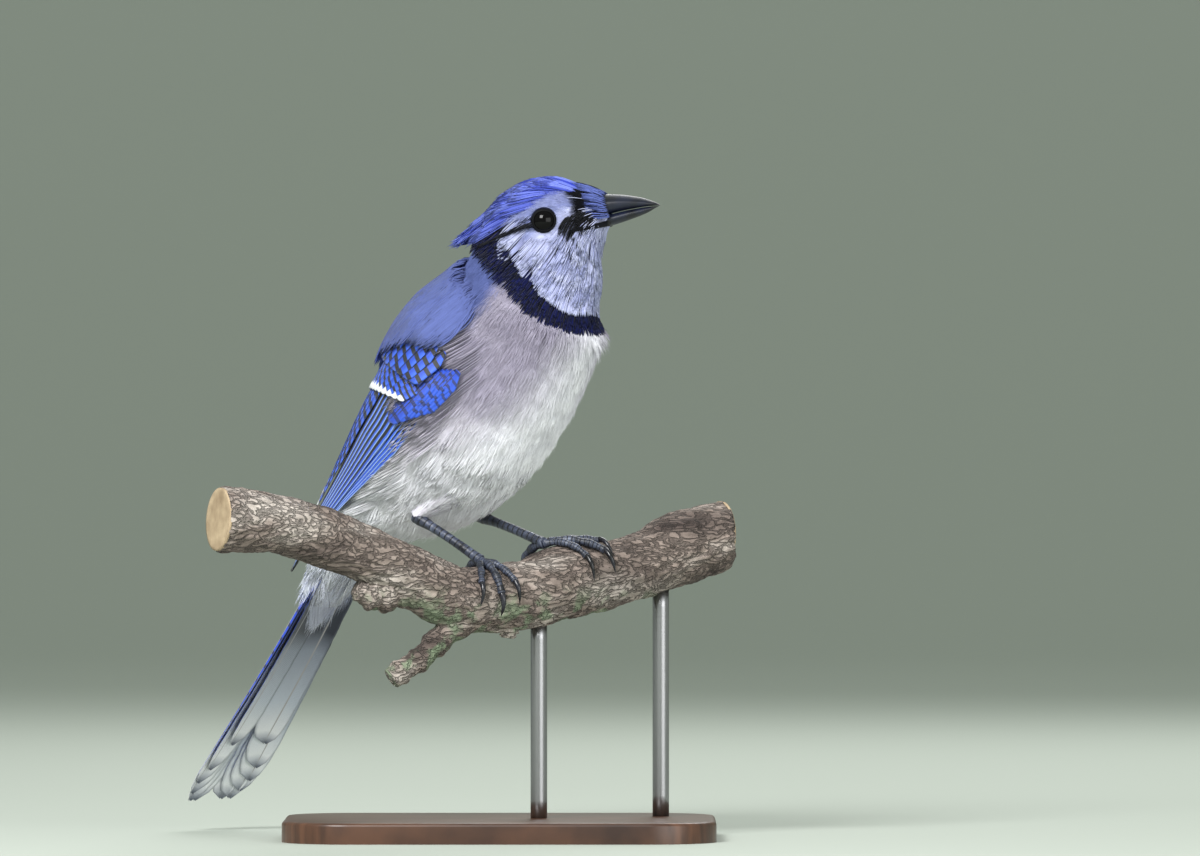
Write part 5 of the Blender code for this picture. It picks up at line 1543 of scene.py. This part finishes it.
@dataclass
class Branch:
    """The cut length of branch."""

    points: Rows = (
        (-106.0, 123.4, 12.9), (-84.6, 121.5, 11.5), (-69.2, 117.0, 11.4), (-58.5, 113.0, 11.0),
        (-46.2, 107.4, 11.2), (-31.2, 99.6, 11.7), (-16.9, 92.6, 12.6), (-3.8, 92.4, 13.0),
        (12.3, 94.6, 13.6), (23.5, 98.6, 14.7), (31.0, 99.8, 14.3), (40.0, 100.9, 13.1),
        (49.2, 103.4, 12.8), (58.8, 106.6, 13.1), (68.5, 111.2, 14.2), (78.0, 114.0, 14.1),
        (85.4, 116.8, 13.8))
    slope: float = 0.456
    depth_at_zero: float = -8.5
    stub: tuple = ((-36.0, 97.0, 7.0), (-44.0, 94.4, 6.6), (-50.0, 94.6, 5.4), (-54.5, 97.2, 3.4))
    twig: tuple = ((-12.0, 89.0, 8.4), (-21.0, 79.0, 5.6), (-26.0, 74.0, 4.9), (-30.5, 69.5, 4.5),
                   (-36.0, 66.0, 4.6), (-41.0, 62.4, 4.3))
    knob: tuple = ((4.0, 84.0, 5.4), (3.4, 80.6, 4.2), (3.0, 77.4, 2.6))

    def at(self, x: Array) -> tuple[Array, Array, Array]:
        """Middle points, radii and directions of the branch at x."""
        x = np.asarray(x, float)
        table = np.array(self.points)
        z = smooth(table[:, 0], table[:, 1], x)
        radius = smooth(table[:, 0], table[:, 2], x)
        ahead = smooth(table[:, 0], table[:, 1], x + 1.0)
        run = unit(np.stack([np.ones_like(x), np.full_like(x, self.slope), ahead - z], -1))
        return np.stack([x, self.depth_at_zero + self.slope * x, z], -1), radius, run

    def on(self, x: Array, turn: Array, height: Array) -> Array:
        """Points at a height above the bark, turned from its top towards the viewer."""
        middle, radius, run = self.at(x)
        side = unit(np.cross(run, np.array([0.0, 0.0, 1.0])))
        up = np.cross(side, run)
        a = np.radians(turn)
        return middle + ((radius + height)[..., None]
                         * (np.cos(a)[..., None] * up + np.sin(a)[..., None] * side))

    @staticmethod
    def bark(x: Array, turn: Array, amount: float) -> Array:
        """Height of the bark: long cracks and lumps from a few sines."""
        a = np.radians(turn)
        warp = 0.6 * np.sin(x * 0.11 + 2 * a) + 0.4 * np.sin(x * 0.31 - 3 * a + 1.0)
        cracks = np.abs(np.sin(7 * a + 0.11 * x + 1.6 * warp)) * np.abs(np.sin(4 * a - 0.23 * x + warp + 2.0))
        lumps = 0.5 * np.sin(0.19 * x + 2.2 * a + 0.7) + 0.3 * np.sin(0.43 * x - 3.1 * a)
        fine = 0.2 * np.sin(1.3 * x + 9 * a) * np.sin(0.9 * x - 13 * a + 1.0)
        return amount * (0.9 * cracks - 0.75 + 0.5 * lumps + fine)

    def build(self, finish: Material, cut: Material) -> list[Object]:
        """The branch, its side shoots and its two cut faces."""
        x = np.linspace(self.points[0][0], self.points[-1][0], 420)[:, None]
        turn = np.linspace(0, 360, 160, endpoint=False)[None, :]
        grid_x, grid_t = np.broadcast_arrays(x, turn)
        edge = step(0.0, 3.0, grid_x - x[0, 0]) * step(0.0, 3.0, x[-1, 0] - grid_x)
        height = self.bark(grid_x, grid_t, 0.75) - 0.6 * (1 - edge)
        made = [Builder.loft("branch_bark", self.on(grid_x, grid_t, height), finish)]
        for name, shoot in (("stub", self.stub), ("twig", self.twig), ("knob", self.knob)):
            table = np.array(shoot)
            share = np.linspace(0, 1, 40)
            at = np.linspace(0, 1, len(table))
            xs, zs, radii = (smooth(at, table[:, i], share) for i in range(3))
            path = np.stack([xs, self.depth_at_zero + self.slope * xs - 1.0, zs], -1)
            ripple = 1 + 0.10 * np.sin(share * 23) + 0.05 * np.sin(share * 51 + 1)
            made.append(Builder.tube(f"shoot_{name}", path, radii * ripple, finish, 32))
        for name, place, sign in (("left", self.points[0][0], -1), ("right", self.points[-1][0], 1)):
            _, radius, run = self.at(np.array(place))
            disc = []
            for reach in np.linspace(0.02, 0.93, 12):
                disc.append(self.on(np.full(64, place), np.linspace(0, 360, 64, endpoint=False),
                                    -radius * (1 - reach)) + run * sign * 0.35)
            rings = np.array(disc)
            back = rings[::-1] - run * sign * 0.9
            made.append(Builder.loft(f"cut_{name}", np.concatenate([rings, back]), cut))
        return made


@dataclass
class Legs:
    """Shanks, feet and claws."""

    branch: Branch
    radius: float = 1.65
    lift: float = 2.2
    claw_turn: float = 30.0
    legs: tuple = (
        ("right", 1, (-32.0, 4.0, 124.6), -6.5, (-13.0, 0.0, 140.0),
         (("inner", 62.0, -5.5, 0.9), ("middle", 80.0, 1.5, 1.0),
          ("outer", 62.0, 7.5, 0.9), ("hind", -66.0, -2.0, 1.05))),
        ("left", -1, (-8.0, 20.5, 124.8), 21.0, (2.0, 14.0, 143.0),
         (("inner", 54.0, 8.0, 0.9), ("middle", 46.0, 16.0, 1.0),
          ("outer", 16.0, 17.5, 0.9), ("hind", -58.0, -4.0, 1.05))))

    def toe(self, name: str, x: float, turn: float, slide: float, share: float,
            scale: Material, claw: Material) -> tuple:
        """One toe with swollen pads and scutes, and its claw."""
        part = np.linspace(0, 1, 60)
        lift = self.radius * share + 0.1
        path = self.branch.on(x + slide * part ** 0.8, turn * part, np.full(60, lift))
        pads = 1 + 0.13 * np.cos(part * math.pi * 6) + 0.035 * np.sin(part * 120)
        radii = self.radius * share * (1 - 0.16 * part) * pads
        toe = Builder.tube(f"toe_{name}", path, radii, scale, 18)
        sign = 1.0 if turn > 0 else -1.0
        part = np.linspace(0, 1, 26)
        at = turn + sign * (1.0 + (self.claw_turn + 6.0) * part)
        arch = lift + 1.3 * np.sin(np.pi * np.minimum(part + 0.1, 1.0)) - 0.6 * part
        path = self.branch.on(x + slide * (1 + 0.12 * part), at, arch)
        radii = np.interp(part, (0, 0.35, 0.7, 1.0), (1.3, 1.0, 0.62, 0.1)) * share
        return toe, Builder.tube(f"nail_{name}", path, radii, claw, 14)

    def build(self, scale: Material, claw: Material) -> dict:
        """Both legs; returns lists of objects by side, scales and claws apart."""
        out = {}
        for side, _, ankle, x, knee, toes in self.legs:
            ankle, knee = np.array(ankle), np.array(knee)
            foot = self.branch.on(np.array(x), np.array(0.0), np.array(self.lift))
            start = ankle + unit(ankle - knee) * 1.0
            part = np.linspace(0, 1, 70)[:, None]
            bend = np.sin(np.pi * part) * np.array([0.0, -0.3, 0.5])
            path = start + (foot - start) * part + bend
            flat = part[:, 0]
            radii = np.interp(flat, (0, 0.08, 0.25, 0.6, 0.9, 1.0), (2.3, 2.45, 1.85, 1.75, 1.95, 2.2))
            rings = np.abs(np.sin(flat * 52)) ** 0.5
            radii = radii * (0.955 + 0.06 * rings)
            shank = Builder.tube(f"shank_{side}", path, radii, scale, 20)
            back = ankle + unit(knee - ankle) * 9.0
            tibia = Builder.tube(f"tibia_{side}", np.array([ankle - unit(knee - ankle) * 0.6, ankle
                                 + unit(knee - ankle) * 3, back]), (2.3, 2.1, 2.6), scale, 18)
            scales, claws = [shank, tibia], []
            for name, turn, slide, share in toes:
                toe, nail = self.toe(f"{name}_{side}", x, turn, slide, share, scale, claw)
                scales.append(toe)
                claws.append(nail)
            out[side] = (scales, claws)
        return out


@dataclass
class Stand:
    """The flat base and its two rods."""

    branch: Branch
    length: float = 166.0
    depth: float = 112.0
    height: float = 8.0
    corner: float = 26.0
    rod: float = 3.2
    rods: tuple[float, float] = (15.0, 62.0)

    def build(self, wood: Material, steel: Material) -> list[Object]:
        """Base and rods as separate objects."""
        work = bmesh.new()
        bmesh.ops.create_cube(work, size=1.0)
        for vertex in work.verts:
            vertex.co.x *= self.length * MM
            vertex.co.y *= self.depth * MM
            vertex.co.z = (vertex.co.z + 0.5) * self.height * MM
        tall = [e for e in work.edges if abs(e.verts[0].co.z - e.verts[1].co.z) > 0.5 * self.height * MM]
        bmesh.ops.bevel(work, geom=tall, offset=self.corner * MM, segments=24, profile=0.5, affect="EDGES")
        rim = [e for e in work.edges if min(v.co.z for v in e.verts) > 0.49 * self.height * MM
               and any(abs(f.normal.z) < 0.5 for f in e.link_faces)]
        bmesh.ops.bevel(work, geom=rim, offset=1.4 * MM, segments=4, profile=0.5, affect="EDGES")
        mesh = bpy.data.meshes.new("base")
        work.to_mesh(mesh)
        work.free()
        mesh.materials.append(wood)
        base = bpy.data.objects.new("base", mesh)
        bpy.context.scene.collection.objects.link(base)
        mesh.shade_smooth()
        mesh.set_sharp_from_angle(angle=math.radians(30))
        made = [base]
        for k, x in enumerate(self.rods):
            middle, radius, _ = self.branch.at(np.array(x))
            path = np.array([[x, middle[1], z] for z in np.linspace(self.height, middle[2] - radius + 2.0, 12)])
            made.append(Builder.tube(f"rod_{k + 1}", path, np.full(12, self.rod), steel, 40))
        return made


class Studio:
    """Camera, light and floor."""

    WIDTH = 0.4615
    DISTANCE = 4.0
    TARGET = (0.0385, 0.0, 0.158)
    SHEET = (1200, 856)
    SENSOR = 36.0
    # The floor's profile as depth and height, before it is stretched: front, foot and radius of the bend, top.
    FRONT, FOOT, BEND, TOP = -1.2, 1.0, 0.7, 2.4
    STEPS = 12
    STRETCH = (6500.0, 3200.0, 1600.0)

    def camera(self) -> None:
        """A level camera that keeps the photograph's framing."""
        data = bpy.data.cameras.new("camera")
        data.sensor_width = self.SENSOR
        data.lens = self.SENSOR * self.DISTANCE / self.WIDTH
        data.clip_start, data.clip_end = 0.1, 30.0
        made = bpy.data.objects.new("camera", data)
        made.location = (self.TARGET[0], -self.DISTANCE, self.TARGET[2])
        made.rotation_euler = (math.radians(90), 0, 0)
        bpy.context.scene.collection.objects.link(made)
        scene = bpy.context.scene
        scene.camera = made
        scene.render.resolution_x, scene.render.resolution_y = self.SHEET
        scene.view_settings.view_transform = "Standard"

    def light(self) -> None:
        """A soft key from the upper right front, a fill and a rim."""
        scene = bpy.context.scene
        world = bpy.data.worlds.new("room")
        world.use_nodes = True
        background = world.node_tree.nodes["Background"]
        background.inputs["Color"].default_value = (*colour(214, 222, 214), 1.0)
        background.inputs["Strength"].default_value = 0.7
        scene.world = world
        for name, place, size, power in (
                ("key", (-0.6, -1.3, 1.2), 0.7, 40.0), ("fill", (1.0, -1.3, 0.3), 1.2, 16.0),
                ("rim", (0.3, 1.2, 1.2), 0.9, 12.0)):
            data = bpy.data.lights.new(name, "AREA")
            data.size, data.energy = size, power
            made = bpy.data.objects.new(name, data)
            made.location = place
            made.rotation_euler = (Vector((0.0, 0.0, 0.17)) - Vector(place)).to_track_quat("-Z", "Y").to_euler()
            scene.collection.objects.link(made)

    def floor(self, finish: Material) -> None:
        """A pale floor that curves up behind."""
        profile = [(self.FRONT, 0.0), (self.FOOT, 0.0)]
        for k in range(1, self.STEPS + 1):
            a = math.radians(90 * k / self.STEPS)
            profile.append((self.FOOT + self.BEND * math.sin(a), self.BEND - self.BEND * math.cos(a)))
        profile.append((self.FOOT + self.BEND, self.TOP))
        points = np.array([(side, y, z) for y, z in profile for side in (-1.0, 1.0)]) * self.STRETCH
        made = Builder.mesh("floor", points, Builder.grid_faces(len(profile), 2), finish)
        made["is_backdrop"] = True


class Finishes:
    """Materials of the skin, coat, horn, bark and stand."""

    @staticmethod
    def mottled(name: str, base: Triple, roughness: float, noise: tuple, stops: tuple) -> Finish:
        """A finish whose colour follows one noise."""
        f = Finish(name, base, roughness)
        f.paint(f.ramp(f.noise(*noise), stops))
        return f

    @staticmethod
    def coat() -> Material:
        """Soft plumage that takes its colour from each tuft, with painted shade towards each strand's root."""
        f = Finish("plumage", Tint.BREAST, 0.85)
        for socket, value in (("Specular IOR Level", 0.1), ("Sheen Weight", 0.06), ("Sheen Roughness", 0.5)):
            f.set(socket, value)
        along = f.split(f.attribute("local", "Vector"))["Y"]
        # Painted shade: every strand darkens towards its root, where it lies under the strands above it.
        shade = f.ramp(along, ((0.0, (0.84, 0.84, 0.88)), (0.5, (1.0, 1.0, 1.0)), (1.0, (1.0, 1.0, 1.0))))
        tone = f.ramp(f.noise(150.0), ((0.3, (0.86, 0.86, 0.88)), (0.7, (1.0, 1.0, 1.0))))
        base = f.blend(f.blend(f.attribute("tint"), shade, 1.0, "MULTIPLY"), tone, 1.0, "MULTIPLY")
        own = f.attribute("tone", "Fac")
        grey = f.add("ShaderNodeCombineColor", {0: own, 1: own, 2: own}).outputs[0]
        f.paint(f.blend(base, grey, 1.0, "MULTIPLY"))
        return f.made

    @staticmethod
    def skin() -> Material:
        """Skin under the coat, with the same markings."""
        f = Finish("skin", Tint.SKIN, 0.9)
        tone = f.ramp(f.noise(600.0), ((0.3, (0.8, 0.8, 0.8)), (0.7, (1.0, 1.0, 1.0))))
        f.paint(f.blend(f.attribute("tint"), tone, 1.0, "MULTIPLY"))
        return f.made

    @classmethod
    def horn(cls, name: str, base: Triple, painted_sheen: Triple, roughness: float) -> Material:
        """Horn with a faint grain and a painted sheen: noise mottles a lighter colour into the dark horn."""
        # Painted sheen: the lighter colour is mixed over the dark base by noise.
        f = cls.mottled(name, base, roughness, (160.0, 4.0), ((0.35, base), (0.75, painted_sheen)))
        f.bump(f.noise(900.0, 2.0), 0.15, 0.0001)
        return f.made

    @staticmethod
    def bark(slope: float) -> Material:
        """Mottled grey-brown bark with dark cracks, partly painted shade, and moss on its lower parts.

        Args:
            slope: Rise of the branch's middle line in depth over its width.

        Returns:
            The material.
        """
        f = Finish("bark", colour(120, 104, 96), 0.95)
        place = f.add("ShaderNodeMapping", {
            "Rotation": (0.0, 0.0, -math.atan(slope)), "Scale": (0.34, 1.0, 1.0),
            "Vector": f.place()}).outputs["Vector"]
        warp = f.add("ShaderNodeTexNoise", {"Scale": 120.0, "Detail": 4.0, "Vector": place}).outputs["Color"]
        pushed = f.add("ShaderNodeVectorMath", {0: warp, 1: (0.02, 0.02, 0.02), 2: place},
                       operation="MULTIPLY_ADD").outputs[0]
        cells = f.add("ShaderNodeTexVoronoi", {"Scale": 330.0, "Vector": pushed}, feature="DISTANCE_TO_EDGE")
        crack = f.between(cells.outputs["Distance"], 0.02, 0.16)
        broad = f.ramp(f.noise(60.0, 8.0, vector=place), (
            (0.32, colour(84, 72, 68)), (0.5, colour(142, 128, 120)), (0.68, colour(196, 186, 178))))
        grain = f.ramp(f.noise(520.0, 6.0, vector=place), ((0.3, (0.55, 0.54, 0.53)), (0.65, (1.05, 1.05, 1.05))))
        # The dark in the cracks is partly the bark's own colour and partly painted shade in the recesses.
        gap = f.math("MULTIPLY", f.math("SUBTRACT", 1.0, crack), 0.5)
        base = f.blend(f.blend(broad, grain, 0.9, "MULTIPLY"), colour(44, 36, 33), gap)
        dark = f.between(f.noise(26.0, 5.0), 0.56, 0.66)
        base = f.blend(base, colour(58, 48, 44), f.math("MULTIPLY", dark, 0.45))
        low = f.math("SUBTRACT", 1.0, f.between(f.split(f.place())["Z"], 0.086, 0.100))
        moss = f.math("MULTIPLY", f.between(f.noise(110.0, 5.0), 0.5, 0.6), low)
        f.paint(f.blend(base, colour(122, 140, 112), f.math("MULTIPLY", moss, 0.75)))
        f.bump(f.math("ADD", f.math("MULTIPLY", crack, 1.0), f.math("MULTIPLY", f.noise(300.0, 8.0), 0.9)), 1.0, 0.0014)
        return f.made

    @staticmethod
    def scale() -> Material:
        """Blackish skin of the legs with painted pale blue-grey highlights, and seams between its scutes."""
        f = Finish("leg_scale", colour(34, 36, 44), 0.42)
        # Painted highlight: the pale blue-grey top of this ramp stands for light on the glossy scutes.
        base = f.ramp(f.noise(260.0), (
            (0.32, colour(20, 22, 30)), (0.62, colour(66, 72, 90)), (0.8, colour(120, 130, 152))))
        along = f.split(f.add("ShaderNodeUVMap", uv_map="OFBake").outputs[0])["Y"]
        uneven = f.math("ADD", along, f.math("MULTIPLY", f.noise(90.0), 0.04))
        seam = f.between(f.math("SINE", f.math("MULTIPLY", uneven, 88.0)), 0.72, 0.95)
        f.paint(f.blend(base, colour(6, 7, 10), seam))
        f.bump(f.math("SUBTRACT", f.noise(900.0, 2.0), f.math("MULTIPLY", seam, 1.4)), 0.6, 0.0003)
        return f.made


class Workshop:
    """Builds the whole scene and rides each piece on the frame."""

    def __init__(self) -> None:
        """Prepares shared shapes."""
        self.shape = BodyShape()
        self.branch = Branch()
        self.legs = Legs(self.branch)

    def keep(self, made: Object, slot: str, *nodes: str) -> None:
        """Rides a finished piece on the root body, hides the frame parts that it stands for and logs its faces."""
        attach(made, "root")
        if nodes:
            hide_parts(*nodes)
        LOG.info("%s: %d faces", made.name, len(made.data.polygons))

    def keep_group(self, made: list[Object], slot: str, node: str) -> None:
        """Keeps pieces of which the first stands for a node."""
        for k, piece in enumerate(made):
            self.keep(piece, slot, *((node,) if k == 0 else ()))

    def build(self) -> None:
        """Makes every piece in order."""
        self.plumage()
        self.head()
        self.perch()
        studio = Studio()
        studio.floor(Finish("floor", colour(176, 183, 174), 0.9).made)
        studio.camera()
        studio.light()

    def plumage(self) -> None:
        """Skin, coat, locks, wings and tail."""
        coat, skin = Finishes.coat(), Finishes.skin()
        plumage = Plumage(self.shape)
        self.keep(plumage.skin(skin), "belly_feather", "head", "neck", "torso", "thigh_left", "thigh_right")
        soft = TuftSet("soft", strands=8, spread=13.0, rise=0.04, variants=4)
        for piece in plumage.coat(ScatterTree(), soft, coat):
            self.keep(piece, "belly_feather")
        soft.remove()
        wings, locks = Wings(self.shape), Locks(plumage)
        loose = [locks.crest(coat), locks.face(coat), locks.throat(coat), locks.collar(coat), locks.undertail(coat)]
        for side, hand in SIDES:
            loose.append(locks.mantle(wings, hand, f"mantle_{side}", coat))
            loose.append(locks.flank(hand, f"flank_{side}", coat))
        for side, _, ankle, _, knee, _ in self.legs.legs:
            loose.append(locks.shank(np.array(ankle), np.array(knee), f"shank_feathers_{side}", coat))
        for piece in loose:
            self.keep(piece, "belly_feather")
        finishes = {kind: FeatherFinish(kind).made for kind in FeatherKind}
        for side, hand in SIDES:
            self.keep_group(wings.build(side, hand, finishes), "wing_feather", f"wing_{side}")
        self.keep(Tail(self.shape).build(finishes[FeatherKind.TAIL]), "wing_feather", "tail")

    def head(self) -> None:
        """Eyes and bill."""
        eye, lid = Finish("eye", colour(4, 3, 4), 0.03), Finish("lid", colour(6, 6, 9), 0.6)
        eye.set("Specular IOR Level", 0.16)
        lid.set("Specular IOR Level", 0.12)
        eyes = EyeSet(self.shape)
        for side, hand in SIDES:
            ball, rim = eyes.build(hand, side, eye.made, lid.made)
            self.keep(ball, "eye_dark", f"eye_{side}")
            self.keep(rim, "blue_feather")
        horn = Finishes.horn("bill_horn", colour(7, 9, 18), colour(24, 30, 52), 0.34)
        for piece, node in zip(Bill().build(horn), ("bill_upper", "bill_lower")):
            self.keep(piece, "bill_horn", node)

    def perch(self) -> None:
        """Legs, branch and stand."""
        claw = Finishes.horn("claw_horn", colour(12, 12, 16), colour(40, 40, 50), 0.25)
        for side, (scales, claws) in self.legs.build(Finishes.scale(), claw).items():
            self.keep_group(scales, "leg_scale", f"leg_{side}")
            for piece in claws:
                self.keep(piece, "claw_horn", piece.name.replace("nail", "claw"))
        cut = Finishes.mottled("cut_wood", colour(176, 156, 130), 0.85, (140.0, 5.0), (
            (0.3, colour(140, 118, 92)), (0.7, colour(190, 168, 138))))
        self.keep_group(self.branch.build(Finishes.bark(self.branch.slope), cut.made), "bark", "perch_branch")
        wood = Finishes.mottled("stand_wood", colour(70, 46, 34), 0.35, (30.0, 6.0, (1.0, 14.0, 1.0)), (
            (0.3, colour(48, 30, 22)), (0.7, colour(96, 64, 46))))
        steel = Finish("stand_steel", colour(150, 150, 152), 0.32, 1.0)
        base, *rods = Stand(self.branch).build(wood.made, steel.made)
        self.keep(base, "stand_wood", "stand_base")
        for k, rod in enumerate(rods):
            self.keep(rod, "stand_steel", f"stand_rod_{k + 1}")


def main() -> None:
    """Loads the frame and builds the looks around it."""
    logging.basicConfig(level=logging.INFO, format="%(name)s: %(message)s")
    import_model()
    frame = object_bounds()
    Workshop().build()
    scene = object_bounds()
    LOG.info("bounds of the frame %s and of the scene %s", frame, scene)
    sizes = {"cad": frame, "visual": scene}
    lists = {name: [[float(value) for value in corner] for corner in box] for name, box in sizes.items()}


if __name__ == "__main__":
    main()
